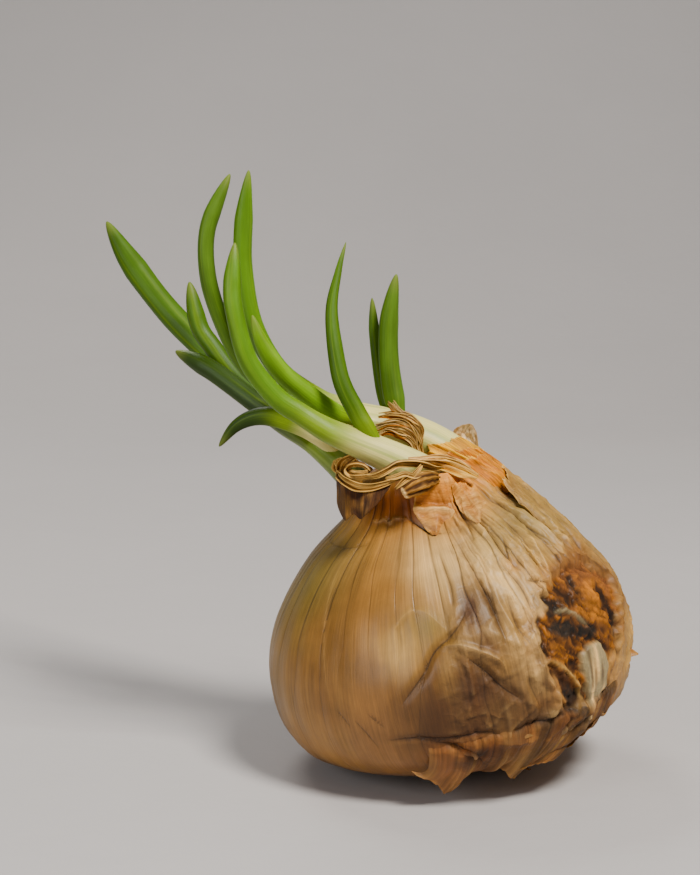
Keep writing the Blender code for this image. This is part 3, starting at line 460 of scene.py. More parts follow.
# The dry strips rolled round the neck: the points of the middle, half the breadth at a few places, how far
# the strip is turned about its middle, in degrees, how much it curls across, a seed and, for some, colours.
COLLAR_STRIPS = (
    (
        ((-6.4, -15.4, 79.2), (-3.6, -13.2, 78.8), (-0.4, -11.4, 77.6), (3.4, -10.8, 76.0),
         (7.4, -11.0, 74.4)),
        (0.6, 1.5, 2.0, 1.9, 0.8), (75, 75, 70, 60, 50), 0.9, 41, ("husk_gold", "straw_pale", "husk_red"),
    ),
    (
        ((-9.6, -17.0, 80.4), (-5.0, -14.6, 80.0), (-1.2, -11.8, 79.4), (2.6, -9.4, 78.0),
         (6.0, -8.6, 76.6)),
        (0.3, 0.8, 1.1, 1.0, 0.4), (70, 60, 60, 50, 50), 1.2, 42, ("straw_pale", "cream", "husk_red"),
    ),
    (
        ((0.6, -9.4, 76.6), (-2.7, -13.0, 77.4), (-5.4, -15.4, 78.6), (-8.6, -17.4, 79.5),
         (-12.0, -18.7, 79.6), (-14.6, -19.6, 78.4), (-17.4, -19.4, 76.9), (-20.4, -17.4, 76.2)),
        (0.5, 0.9, 1.2, 1.4, 1.4, 1.3, 1.1, 0.5), (70, 80, 80, 75, 65, 60, 70, 80), 1.5, 31,
    ),
    (
        ((-11.0, -19.4, 76.6), (-13.5, -19.8, 75.7), (-15.6, -20.6, 74.9), (-18.3, -20.6, 74.1),
         (-21.6, -19.4, 74.0), (-24.5, -16.7, 74.7), (-25.9, -12.5, 75.3), (-26.0, -8.0, 75.4)),
        (0.5, 1.1, 1.5, 1.8, 1.8, 1.6, 1.3, 0.9), (70, 80, 88, 92, 92, 88, 80, 70), 1.9, 32,
    ),
    (
        ((-12.4, -18.6, 79.0), (-15.4, -19.3, 77.6), (-18.3, -18.7, 76.5), (-21.6, -17.2, 75.8),
         (-24.7, -13.6, 75.6)),
        (0.5, 0.9, 1.1, 1.1, 0.5), (60, 75, 80, 80, 70), 1.6, 33,
    ),
    (
        ((-18.5, -16.0, 77.3), (-19.9, -15.7, 78.7), (-21.8, -15.2, 79.1), (-23.8, -14.3, 78.3),
         (-24.4, -14.3, 76.9), (-23.0, -15.7, 76.1), (-20.9, -16.7, 76.3), (-19.2, -17.0, 77.0)),
        (0.7, 1.0, 1.1, 1.1, 1.1, 1.2, 1.1, 0.7), (30, 25, 20, 25, 40, 50, 50, 40), 1.0, 34,
    ),
    (
        ((-21.6, -10.6, 80.2), (-23.4, -11.4, 79.6), (-25.1, -11.0, 78.5), (-25.9, -10.6, 76.6),
         (-25.6, -11.4, 74.8)),
        (0.5, 1.5, 1.9, 1.8, 0.9), (70, 80, 85, 85, 80), 1.5, 35,
    ),
    (
        ((-14.9, -20.0, 76.0), (-12.5, -20.8, 76.7), (-10.4, -20.7, 77.3), (-8.0, -20.0, 76.5),
         (-5.8, -18.3, 77.0), (-3.0, -14.6, 76.4)),
        (0.5, 0.9, 1.0, 1.0, 0.8, 0.4), (80, 85, 70, 60, 60, 60), 1.4, 36,
    ),
    (
        ((-6.0, -15.8, 79.2), (-7.0, -18.4, 78.2), (-8.2, -19.8, 77.2), (-10.6, -21.2, 75.4),
         (-12.6, -21.6, 73.8)),
        (0.4, 0.7, 0.8, 0.9, 0.4), (60, 70, 90, 110, 120), 1.4, 38,
    ),
    (
        ((-26.0, -8.6, 75.6), (-26.4, -3.0, 76.0), (-24.4, 2.0, 75.6), (-20.0, 5.6, 74.2)),
        (1.0, 1.7, 1.6, 0.7), (60, 60, 60, 60), 1.5, 37,
    ),
)
# The stub, the skirt's upper edge and its hem.
STUB = (
    ((-2.6, -14.6, 75.2), (-4.5, -17.0, 75.1), (-6.8, -19.7, 74.6), (-8.9, -21.2, 73.7),
     (-10.9, -21.9, 72.7)),
    (1.1, 1.9, 2.2, 2.0, 1.35),
)
SKIRT_TOP = (
    (-13.2, -19.0, 75.5), (-16.3, -19.6, 74.4), (-19.7, -19.4, 74.0), (-23.0, -17.0, 74.0),
    (-25.3, -12.3, 74.6), (-26.2, -7.0, 74.9), (-25.0, 0.4, 74.4),
)
SKIRT_HEM = (
    (-14.2, -20.6, 73.4), (-16.4, -21.8, 70.8), (-19.0, -22.2, 68.2), (-20.9, -21.9, 66.4),
    (-22.4, -20.7, 67.4), (-24.3, -18.5, 65.6), (-25.9, -12.0, 66.8), (-27.0, -6.0, 67.6),
    (-27.2, -1.0, 69.0),
)
# Lips of dry skin at the foot of the shoots: the shoot, a seed, the turns it spans and how high it stands.
CUFFS = (("shaft_back", 151, 0.0, 356.0, 3.6), ("shaft_upper", 154, 318.0, 462.0, 4.2))
CUFF_REACH = 22.0
# The orange husk: where it starts along the shoot, where its mouth is from its front edge round to the
# back one, and the turns that it spans.
SHEATH_START = 8.5
SHEATH_MOUTH = (31.5, 31.0, 27.0, 20.5, 19.0)
SHEATH_TURNS = (322.0, 100.0)
# The layers of the husk: the share of the turn each starts and ends at, how far back its mouth is, how far
# it stands out and its main colour.
SHEATH_LAYERS = (
    (0.0, 1.0, 0.0, 0.3, "husk_gold"), (0.0, 0.7, 3.4, 0.75, "husk_orange"),
    (0.04, 0.52, 7.4, 1.25, "husk_orange"),
)

# The tuft's blades all start at one foot, and each is a bunch of strands.
TUFT_FOOT = (-5.3, -2.4, 77.0)
TUFT_BLADES = (
    ((-6.2, -2.6, 80.5), (-6.0, -2.7, 84.5), (-8.2, -3.2, 87.6), (-12.0, -3.9, 89.0), (-16.6, -4.6, 88.8)),
    ((-6.6, -2.9, 80.5), (-7.6, -3.2, 84.0), (-10.4, -3.9, 86.4), (-14.0, -4.7, 87.0), (-17.4, -5.3, 86.0)),
    ((-7.0, -3.2, 80.0), (-8.8, -3.6, 82.6), (-11.4, -4.4, 84.2), (-14.4, -5.2, 85.0), (-16.6, -5.8, 84.0)),
    ((-6.5, -2.7, 81.0), (-6.8, -2.9, 84.0), (-9.6, -3.4, 87.4), (-12.0, -3.7, 89.4), (-14.3, -4.0, 91.9)),
    ((-6.3, -2.6, 81.0), (-6.4, -2.6, 84.4), (-9.0, -3.0, 87.6), (-11.2, -3.3, 89.4), (-12.9, -3.6, 91.8)),
)
STRANDS = 6
STRAND_CURL = 1.4
STRAND_FRAY = 0.3
# The colours of a bunch's first strand, and of its even and odd ones.
STRAND_TONES = (
    ("husk_red", "husk_orange", "straw_dark"), ("straw", "straw_pale", "straw_dark"),
    ("straw_pale", "cream", "straw_dark"),
)
# The thin wing of husk: the points of its foot and of its upper edge.
WING_FOOT = ((1.6, 11.4, 78.4), (4.9, 11.6, 76.8), (9.2, 11.0, 74.2))
WING_TOP = ((1.8, 11.6, 81.0), (3.2, 11.8, 83.4), (6.6, 11.6, 84.4), (8.4, 11.4, 82.0), (8.8, 11.2, 77.6))
SKIRT_MIDDLE = np.array((-12.0, 0.0, 70.0))
ROOTS = 26

# Where each set of random draws starts.
SHOOT_SEED = 200
LEAF_SEED = 300
SEED_STEP = 10
TUFT_SEED = 111
ROOT_SEED = 141

# How finely each piece is drawn: its rows and columns, or how far apart its rings are and their points.
BULB_GRID = (224, 420)
BULB_STEPS = 1500
UNDERSIDE = 12.0
UNDERSIDE_STEP = 0.6
CLINGING_GRID = (70, 230)
LOOSE_GRID = (110, 230)
FLAP_GRID = (56, 260)
NECK_GRID = (90, 90)
SKIRT_GRID = (56, 190)
CUFF_GRID = (16, 130)
SHEATH_GRID = (80, 150)
WING_GRID = (40, 60)
THORN_GRID = (16, 14)
RING_STEP = 0.7
STRIP_STEP = 0.45
STRIP_ROWS = 12
STRIP_COLUMNS = 26
STRAND_COLUMNS = 12
LEAF_SIDES = 64
SHOOT_SIDES = 80
TIP_RINGS = 14
TIP_GAP = 0.02
STUB_RINGS = 44
STUB_SIDES = 60
ROOT_PLATE_GRID = (14, 48)
ROOT_GRID = (26, 9)

# How thick the dry skins, the husks and the fine scraps are, and the share of it at a rim, which is so many
# points wide.
SKIN_THICKNESS = 0.24
HUSK_THICKNESS = 0.22
WING_THICKNESS = 0.2
STRAND_THICKNESS = 0.18
RIM_THICKNESS = 0.35
RIM_POINTS = 4.0

# How far a point is from a line where no line is drawn.
NO_LINE = 9.0
# The bulb's mean reach, which turns degrees into millimetres in its patterns.
MEAN_REACH = 40.0

# A light: where it stands, what it aims at, its breadth, its power and its tint. These are in metres.
LIGHTS = {
    "key": ((0.36, -0.48, 0.88), (0.0, 0.0, 0.05), 0.3, 19.0, (1.0, 0.97, 0.92)),
    "fill": ((-0.7, -0.6, 0.35), (0.0, 0.0, 0.06), 0.6, 4.0, (0.94, 0.96, 1.0)),
    "back": ((-0.3, 0.55, 0.7), (-0.02, 0.0, 0.09), 0.4, 4.0, (1.0, 0.98, 0.95)),
}
# The camera's place, what it aims at and its focal length in millimetres, then the light from all round.
EYE = (-0.02353, -0.59088, 0.18666)
AIM = (-0.02353, 0.0, 0.08247)
LENS = 100.0
SKY = (0.72, 0.75, 0.82, 1.0)
SKY_STRENGTH = 0.2
# The floor: how far it reaches sideways and in front, where it starts to rise, the radius there, its top,
# how far it lies under the onion, and its two tones.
FLOOR_REACH = 1.6
FLOOR_BACK = 0.5
FLOOR_RADIUS = 0.6
FLOOR_TOP = 1.6
FLOOR_DROP = 0.0002
FLOOR_DARK = (0.38, 0.355, 0.34, 1.0)
FLOOR_LIGHT = (0.45, 0.42, 0.405, 1.0)


def ease(value):
    """From 0 to 1 with level ends."""
    value = np.clip(value, 0.0, 1.0)
    return value * value * (3.0 - 2.0 * value)


def linear(tone):
    """A colour seen on a screen, 0 to 255, as the light it stands for."""
    share = np.array(tone, float) / 255.0
    return np.where(share <= 0.04045, share / 12.92, ((share + 0.055) / 1.055) ** 2.4)


TONES = {name: linear(tone) for name, tone in COLOURS.items()}


def mix(paint, tone, share):
    """Part of the way from a colour, or a grid of them, to another."""
    tone = TONES[tone] if isinstance(tone, str) else tone
    return paint + (tone - paint) * np.clip(share, 0.0, 1.0)[..., None]


def plain(tone, grid):
    """One colour all over a grid."""
    return np.broadcast_to(TONES[tone], (*grid.shape, 3))


def bell(value):
    """1 at 0, falling off alike on both sides."""
    return np.exp(-(value**2))


def taper(share):
    """How full a line is along its length: slim at both ends."""
    return np.sqrt(np.sin(math.pi * np.clip(share, 0.02, 0.98)))


def spline(rows, t):
    """The values at t, from 0 to 1, of a smooth curve through the rows."""
    rows = np.array(rows, float)
    rows = rows[:, None] if rows.ndim == 1 else rows
    last = len(rows) - 1
    place = np.clip(np.asarray(t, float), 0.0, 1.0) * last
    i = np.minimum(place.astype(int), last - 1)
    f = (place - i)[..., None]
    a, b, c, d = (rows[np.clip(i + step, 0, last)] for step in (-1, 0, 1, 2))
    return 0.5 * (2 * b + (c - a) * f + (2 * a - 5 * b + 4 * c - d) * f**2 + (3 * b - a - 3 * c + d) * f**3)


# Large odd numbers that scatter a cell's three numbers, then the sum of them, and those for the seed.
SCATTER = np.array((374761393, 668265263, 2246822519), np.uint32)
SCATTER_SUM = np.uint32(1274126177)
SEED_SCATTER, SEED_START = 3266489, 17
LARGEST = 4294967295.0


def lattice(cell, seed):
    """A repeatable value from 0 to 1 for each whole-number cell."""
    x, y, z = (cell[..., k].astype(np.uint32) * SCATTER[k] for k in range(3))
    mixed = x + y + z + np.uint32(seed * SEED_SCATTER + SEED_START)
    mixed = (mixed ^ (mixed >> np.uint32(13))) * SCATTER_SUM
    return (mixed ^ (mixed >> np.uint32(16))) / LARGEST


def noise(place, seed, octaves=1):
    """Smooth random values from about -1 to 1, one cell to a unit of place."""
    total = np.zeros(place.shape[:-1])
    weight = 1.0
    for octave in range(octaves):
        cell = np.floor(place).astype(np.int64)
        f = ease(place - cell)
        value = np.zeros(place.shape[:-1])
        for corner in itertools.product((0, 1), repeat=3):
            share = np.prod(np.where(corner, f, 1.0 - f), axis=-1)
            value += share * lattice(cell + np.array(corner), seed + octave)
        total += weight * (2.0 * value - 1.0)
        place = place * 2.03 + 11.7
        weight *= 0.5
    return total


def at(*parts):
    """Numbers and grids of numbers put together as places."""
    return np.stack(np.broadcast_arrays(*(np.asarray(part, float) for part in parts)), -1)


def ring(count):
    """Even turns round a closed ring, as one row."""
    return np.linspace(0.0, 2 * math.pi, count, endpoint=False)[None, :]


def around(turns, size, along):
    """Places on rings of a size, for a pattern that meets itself where a ring closes."""
    return at(size * np.cos(turns), size * np.sin(turns), along)


def grid(rows, columns):
    """Shares from 0 to 1 down the rows and along the columns of a sheet."""
    return np.meshgrid(np.linspace(0.0, 1.0, rows), np.linspace(0.0, 1.0, columns), indexing="ij")


def ridged(value, power=3.0):
    """Sharp crests, from 0 to 1, where the noise crosses zero."""
    return np.clip(1.0 - np.abs(value), 0.0, 1.0) ** power


def ragged(u, count, seed, levels=3):
    """A torn edge: how deep the tear is, from 0 to 1, at u from 0 to 1."""
    draw = np.random.default_rng(seed)
    total = np.zeros(np.shape(u))
    for level in range(levels):
        knots = count * 3**level
        total += 0.5**level * np.interp(np.asarray(u) * knots, np.arange(knots + 1), draw.random(knots + 1))
    return total / (2.0 - 0.5 ** (levels - 1))


def unit(vectors):
    """Each vector at a length of 1."""
    return vectors / np.maximum(np.linalg.norm(vectors, axis=-1, keepdims=True), 1e-9)


TRACE_POINTS = 600


class Trace:
    """A smooth curve through points, read by the distance along it."""

    def __init__(self, points):
        self.places = spline(points, np.linspace(0.0, 1.0, TRACE_POINTS))
        steps = np.linalg.norm(np.diff(self.places, axis=0), axis=1)
        self.marks = np.concatenate(([0.0], np.cumsum(steps)))
        self.length = self.marks[-1]

    def at(self, along):
        """The place at a distance. Beyond either end the curve runs on straight."""
        inside = np.clip(along, 0.0, self.length)
        place = at(*(np.interp(inside, self.marks, self.places[:, k]) for k in range(3)))
        first, last = unit(self.places[3] - self.places[0]), unit(self.places[-1] - self.places[-4])
        beyond = np.asarray(along - inside)[..., None]
        return place + beyond * np.where(beyond < 0.0, first, last)

    def frame(self, along):
        """The place, and the two directions across the curve there."""
        ahead = unit(self.at(along + 1.0) - self.at(along - 1.0))
        side = unit(ACROSS - ahead * (ahead @ ACROSS)[..., None])
        return self.at(along), np.cross(ahead, side), side

    def rings(self, along, half_up, half_side, turns):
        """Rings of points about the curve. Each half size is a number, a row for the rings or a grid."""
        middle, up, side = self.frame(along)
        out = up[:, None] * (half_up * np.cos(turns))[..., None]
        return middle[:, None] + out + side[:, None] * (half_side * np.sin(turns))[..., None]


class Body:
    """A closed skin of points and faces, with what its finish reads at each point."""

    def __init__(self, places, faces, layers):
        self.places = places
        self.layers = layers
        volume = 0.0
        for face in faces:
            corners = places[face]
            for k in range(1, face.shape[1] - 1):
                fan = np.cross(corners[:, k], corners[:, k + 1])
                volume += np.einsum("ij,ij->", corners[:, 0], fan)
        self.faces = [face[:, ::-1] for face in faces] if volume < 0.0 else faces


def quads(low, high):
    """Faces between two rows of point numbers."""
    return np.stack((low[:-1], low[1:], high[1:], high[:-1]), -1)


def tube_body(rings, **layers):
    """A closed body of rings, each end closed by a fan."""
    rows, columns = rings.shape[:2]
    places = np.concatenate((rings.reshape(-1, 3), rings[0].mean(0)[None], rings[-1].mean(0)[None]))
    numbers = np.arange(rows * columns).reshape(rows, columns)
    numbers = np.concatenate((numbers, numbers[:, :1]), 1)
    walls = np.concatenate([quads(numbers[j], numbers[j + 1]) for j in range(rows - 1)])
    fans = []
    for row, tip in ((numbers[0][::-1], rows * columns), (numbers[-1], rows * columns + 1)):
        fans.append(np.stack((row[:-1], row[1:], np.full(columns, tip)), -1))
    flat = {}
    for name, values in layers.items():
        values = np.broadcast_to(values, (rows, columns, *np.shape(values)[2:]))
        ends = np.stack((values[0].mean(0), values[-1].mean(0)))
        flat[name] = np.concatenate((values.reshape(rows * columns, *values.shape[2:]), ends))
    return Body(places, [walls, *fans], flat)


def sheet_body(middle, thickness=SKIN_THICKNESS, **layers):
    """A thin closed skin about a grid of points, thinner at its rim."""
    rows, columns = middle.shape[:2]
    normal = unit(np.cross(np.gradient(middle, axis=1), np.gradient(middle, axis=0)))
    v, u = grid(rows, columns)
    rim = np.minimum(np.minimum(u, 1.0 - u) * columns, np.minimum(v, 1.0 - v) * rows)
    half = 0.5 * thickness * (RIM_THICKNESS + (1.0 - RIM_THICKNESS) * ease(rim / RIM_POINTS))
    top = middle + normal * half[..., None]
    bottom = middle - normal * half[..., None]
    numbers = np.arange(rows * columns).reshape(rows, columns)
    under = numbers + rows * columns
    faces = [quads(numbers[j], numbers[j + 1]) for j in range(rows - 1)]
    faces += [quads(under[j], under[j + 1])[:, ::-1] for j in range(rows - 1)]
    edges = [
        np.concatenate((side[0], side[1:, -1], side[-1, -2::-1], side[-2:0:-1, 0], side[0, :1]))
        for side in (numbers, under)
    ]
    faces.append(quads(edges[1], edges[0]))
    flat = {}
    for name, values in layers.items():
        values = np.broadcast_to(values, (rows, columns, *np.shape(values)[2:])).reshape(rows * columns, -1)
        flat[name] = np.concatenate((values, values)).squeeze()
    return Body(np.concatenate((top.reshape(-1, 3), bottom.reshape(-1, 3))), [np.concatenate(faces)], flat)


# How a layer is kept on a mesh, by how many numbers it has for each point.
LAYER_KINDS = {1: ("FLOAT", "value"), 3: ("FLOAT_VECTOR", "vector")}


def add_piece(name, bodies, finish, slot, *nodes):
    """A visible piece of one or more closed bodies, in the place of its solids."""
    faces, places, count = [], [], 0
    for body in bodies:
        for face in body.faces:
            faces += (face + count).tolist()
        places.append(body.places)
        count += len(body.places)
    mesh = bpy.data.meshes.new(name)
    mesh.from_pydata((np.concatenate(places) * MM).tolist(), [], faces)
    for layer in bodies[0].layers:
        values = np.concatenate([body.layers[layer].reshape(len(body.places), -1) for body in bodies])
        kind, field = LAYER_KINDS[values.shape[1]]
        made = mesh.attributes.new(layer, kind, "POINT")
        made.data.foreach_set(field, values.astype(np.float32).ravel())
    mesh.shade_smooth()
    mesh.materials.append(finish)
    mesh.update()
    piece = bpy.data.objects.new(name, mesh)
    bpy.context.scene.collection.objects.link(piece)
    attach(piece, "root")
    if nodes:
        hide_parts(*nodes)
    return piece


class Finish:
    """A material made of nodes, wired by short calls. A value or a socket can feed any input."""

    def __init__(self, name):
        self.made = bpy.data.materials.new(name)
        self.made.use_nodes = True
        self.tree = self.made.node_tree
        self.shader = self.tree.nodes["Principled BSDF"]

    def node(self, kind, inputs=None, **settings):
        made = self.tree.nodes.new("ShaderNode" + kind)
        for name, value in settings.items():
            setattr(made, name, value)
        for socket, value in (inputs or {}).items():
            self.put(made.inputs[socket], value)
        return made

    def put(self, socket, value):
        if isinstance(value, bpy.types.NodeSocket):
            self.tree.links.new(value, socket)
        else:
            socket.default_value = value

    def read(self, layer, output):
        return self.node("Attribute", attribute_name=layer).outputs[output]

    def noise(self, vector, scale, detail=3.0, rough=0.55):
        inputs = {"Vector": vector, "Scale": scale, "Detail": detail, "Roughness": rough}
        return self.node("TexNoise", inputs).outputs["Fac"]

    def ramp(self, value, low, high, start=0.0, end=1.0):
        inputs = {"Value": value, "From Min": start, "From Max": end, "To Min": low, "To Max": high}
        return self.node("MapRange", inputs).outputs["Result"]

    def times(self, colour, factor):
        return self.node("VectorMath", {0: colour, "Scale": factor}, operation="SCALE").outputs["Vector"]

    def both(self, a, b, operation="MULTIPLY"):
        return self.node("Math", {0: a, 1: b}, operation=operation).outputs["Value"]

    def bump(self, height, distance):
        inputs = {"Height": height, "Strength": 1.0, "Distance": distance}
        return self.node("Bump", inputs).outputs["Normal"]


# The drawn lines, dark ones of vein colour and painted shade in grooves, pale ones of painted highlight on
# ridges: half their width in millimetres, how dark or pale they get, and their depth in metres.
LINE_HALF = 0.2
LINE_DARK = 0.34
LINE_PALE = 1.4
LINE_GROOVE = -0.00014
# The small folds of crumpled skin: the size of a cell and how far a fold stands out, in metres.
CRUMPLES = ((0.0075, 0.00022), (0.0028, 0.00005))
CRUMPLE_BEND = 0.006


def crease(made, place, height, shade):
    """Thin lines and the small folds of crumpled skin, added to the height and the shade of a finish. Dark
    lines are vein colour and painted shade, pale lines and fold crests are painted highlight.
    """
    gap, shade_and_ink, crumple = made.node("SeparateXYZ", {0: made.read("crease", "Vector")}).outputs
    falling = made.both(made.both(gap, gap), -1.0 / LINE_HALF**2)
    line = made.both(made.node("Math", {0: falling}, operation="EXPONENT").outputs["Value"], shade_and_ink)
    # Dark lines: vein colour and painted shade in grooves. Pale lines: painted highlight on ridges.
    shade = made.both(shade, made.ramp(line, 1.0, LINE_DARK))
    shade = made.both(shade, made.ramp(line, LINE_PALE, 1.0, -1.0, 0.0))
    height = made.both(height, made.both(line, LINE_GROOVE), "ADD")
    cloud = made.node("TexNoise", {"Vector": place, "Scale": 140.0, "Detail": 2.0}).outputs["Color"]
    shift = made.times(cloud, CRUMPLE_BEND)
    bent = made.node("VectorMath", {0: place, 1: shift}, operation="ADD").outputs["Vector"]
    for cell, rise in CRUMPLES:
        off = made.both(made.noise(bent, 1.0 / cell, 2.0), 0.5, "SUBTRACT")
        off = made.node("Math", {0: off}, operation="ABSOLUTE").outputs["Value"]
        crest = made.both(made.ramp(off, 1.0, 0.0, 0.0, 0.13), crumple)
        height = made.both(height, made.both(crest, rise), "ADD")
        # Fold crests painted lighter: a painted highlight.
        shade = made.both(shade, made.ramp(crest, 0.95, 1.12))
    return height, shade


def organic_finish(name, roughness, fibre=0.25, fibre_bump=0.00006, blotch=0.2, blotch_size=0.006,
                   pit=0.00002, subsurface=0.1, radius=(0.003, 0.0015, 0.0006), coat=0.0,
                   coat_roughness=0.25, shine=0.4, creased=False):
    """Painted points, crossed by fibres that follow the grain, with blotches and fine pits."""
    made = Finish(name)
    place = made.node("TexCoord").outputs["Object"]
    grain = made.read("grain", "Vector")
    fibres = made.noise(grain, 1.0, 2.0)
    threads = made.noise(grain, 3.3, 2.0)
    blotches = made.noise(place, 1.0 / blotch_size, 4.0)
    pits = made.noise(place, 1800.0, 2.0)
    shade = made.both(made.ramp(fibres, 1.0 - fibre, 1.0 + fibre, 0.25, 0.75),
                      made.ramp(blotches, 1.0 - blotch, 1.0 + blotch, 0.25, 0.75))
    shade = made.both(shade, made.ramp(threads, 1.0 - 0.7 * fibre, 1.0 + 0.7 * fibre, 0.25, 0.75))
    height = made.both(made.both(fibres, fibre_bump), made.both(threads, 0.6 * fibre_bump), "ADD")
    height = made.both(height, made.both(pits, pit), "ADD")
    if creased:
        height, shade = crease(made, place, height, shade)
    rough = made.both(made.read("rough", "Fac"), made.ramp(blotches, -0.06, 0.06, 0.25, 0.75), "ADD")
    made.put(made.shader.inputs["Base Color"], made.times(made.read("paint", "Vector"), shade))
    made.put(made.shader.inputs["Roughness"], made.both(rough, roughness, "ADD"))
    made.put(made.shader.inputs["Normal"], made.bump(height, 1.0))
    made.put(made.shader.inputs["Subsurface Weight"], subsurface)
    made.put(made.shader.inputs["Subsurface Radius"], radius)
    made.put(made.shader.inputs["Subsurface Scale"], 1.0)
    made.put(made.shader.inputs["Specular IOR Level"], shine)
    made.put(made.shader.inputs["Coat Weight"], coat)
    made.put(made.shader.inputs["Coat Roughness"], coat_roughness)
    return made.made


FINISHES = {
    "skin": organic_finish("onion_skin", 0.4, 0.17, 0.00005, 0.16, subsurface=0.03, coat=0.07,
                           coat_roughness=0.32, shine=0.28, creased=True),
    "dry": organic_finish("dry_skin", 0.5, 0.3, 0.00008, 0.2, subsurface=0.03, coat=0.04, shine=0.25,
                          creased=True),
    "husk": organic_finish("dry_husk", 0.58, 0.5, 0.00014, 0.2, 0.004, subsurface=0.03, shine=0.15),
    "sheath": organic_finish("orange_husk", 0.46, 0.5, 0.00014, 0.2, 0.005, subsurface=0.06, shine=0.14),
    "leaf": organic_finish("green_leaf", 0.46, 0.16, 0.00003, 0.12, 0.008, 0.000012, 0.0, shine=0.2),
    "shoot": organic_finish("pale_shoot", 0.42, 0.13, 0.00003, 0.07, 0.008, 0.00001, 0.15,
                            radius=(0.003, 0.003, 0.001), shine=0.26),
    "root": organic_finish("dry_root", 0.8, 0.4, 0.0001, 0.3, 0.002),
}


def bulb_base(angle, t):
    """The bulb's turned form: place, outward direction, height along the axis and reach from it."""
    height, left, right, front, back = np.moveaxis(spline(BULB_ROWS, t), -1, 0)
    along = np.cos(angle) ** 2
    reach = along * np.where(np.cos(angle) > 0.0, right, left)
    reach = reach + (1.0 - along) * np.where(np.sin(angle) > 0.0, back, front)
    reach = np.maximum(reach, 0.0)
    out = np.cos(angle)[..., None] * SIDE + np.sin(angle)[..., None] * ACROSS
    low, high = spline(BULB_ROWS, t - 0.01), spline(BULB_ROWS, t + 0.01)
    rise = (high - low)[..., 0]
    spread = 0.5 * (high - low)[..., 1:3].sum(-1)
    normal = unit(out * rise[..., None] - AXIS * spread[..., None])
    place = ROOT + AXIS * height[..., None] + out * reach[..., None]
    return place, normal, height, reach


RISING = np.linspace(0.18, 0.985, 800)
RISING_HEIGHTS = spline(BULB_ROWS, RISING)[:, 0]


def step_at(height):
    """The t of bulb_base at a height along the axis."""
    return np.interp(height, RISING_HEIGHTS, RISING)


def on_bulb(polar):
    """Places on the turned form for pairs of angle in degrees and height."""
    polar = np.array(polar, float)
    return bulb_base(np.radians(polar[:, 0]), step_at(polar[:, 1]))[0]


# A distance past any that matters, and how far from a line its distance is worked out, in millimetres.
FAR = 1e3
LINE_MARGIN = 5.0


def line_distance(place, normal, points):
    """How far each place is from a line on the bulb, below 0 on one side, and how far along it, 0 to 1."""
    line = on_bulb(spline(points, np.linspace(0.0, 1.0, 6 * len(points))))
    flat = place.reshape(-1, 3)
    near = np.full(len(flat), FAR)
    share = np.zeros(len(flat))
    inside = np.all((flat > line.min(0) - LINE_MARGIN) & (flat < line.max(0) + LINE_MARGIN), axis=1)
    if inside.any():
        start, run = line[:-1], np.diff(line, axis=0)
        from_start = flat[inside][:, None] - start
        f = np.clip((from_start * run).sum(-1) / (run * run).sum(-1), 0.0, 1.0)
        gaps = np.linalg.norm(from_start - f[..., None] * run, axis=-1)
        best = gaps.argmin(1)
        rows = np.arange(len(best))
        across = np.cross(run[best], from_start[rows, best])
        side = np.einsum("ij,ij->i", across, normal.reshape(-1, 3)[inside])
        near[inside] = gaps[rows, best] * np.where(side < 0.0, -1.0, 1.0)
        share[inside] = (best + f[rows, best]) / len(run)
    return near.reshape(place.shape[:-1]), share.reshape(place.shape[:-1])


def inside_outline(angle, height, outline):
    """How far inside an outline on the bulb each place is, in millimetres. Outside it is below 0."""
    scale = MEAN_REACH * math.pi / 180.0
    points = np.array(outline, float) * (scale, 1.0)
    x, y = np.degrees(angle) * scale, height
    inside = np.zeros(np.shape(x), bool)
    near = np.full(np.shape(x), FAR)
    for a, b in zip(points, np.roll(points, -1, axis=0)):
        crosses = (a[1] > y) != (b[1] > y)
        with np.errstate(divide="ignore", invalid="ignore"):
            inside ^= crosses & (x < a[0] + (b[0] - a[0]) * (y - a[1]) / (b[1] - a[1]))
        run = b - a
        f = np.clip(((x - a[0]) * run[0] + (y - a[1]) * run[1]) / (run @ run), 0.0, 1.0)
        near = np.minimum(near, np.hypot(x - a[0] - f * run[0], y - a[1] - f * run[1]))
    return np.where(inside, near, -near)


VEINS = 38
VEIN_HALF = 0.5
LINE_REACH = 1.3
FOLD_GROWTH = 1.4
FOLD_SLIMNESS = 0.85
CORD_HALF = 0.5
CORD_RISE = 0.8
# Where the wrinkled half starts: height, then angle.
WRINKLED_FROM = ((20.0, -100.0), (37.0, -103.0), (46.0, -92.0), (55.0, -89.0), (66.0, -82.0), (74.0, -78.0))


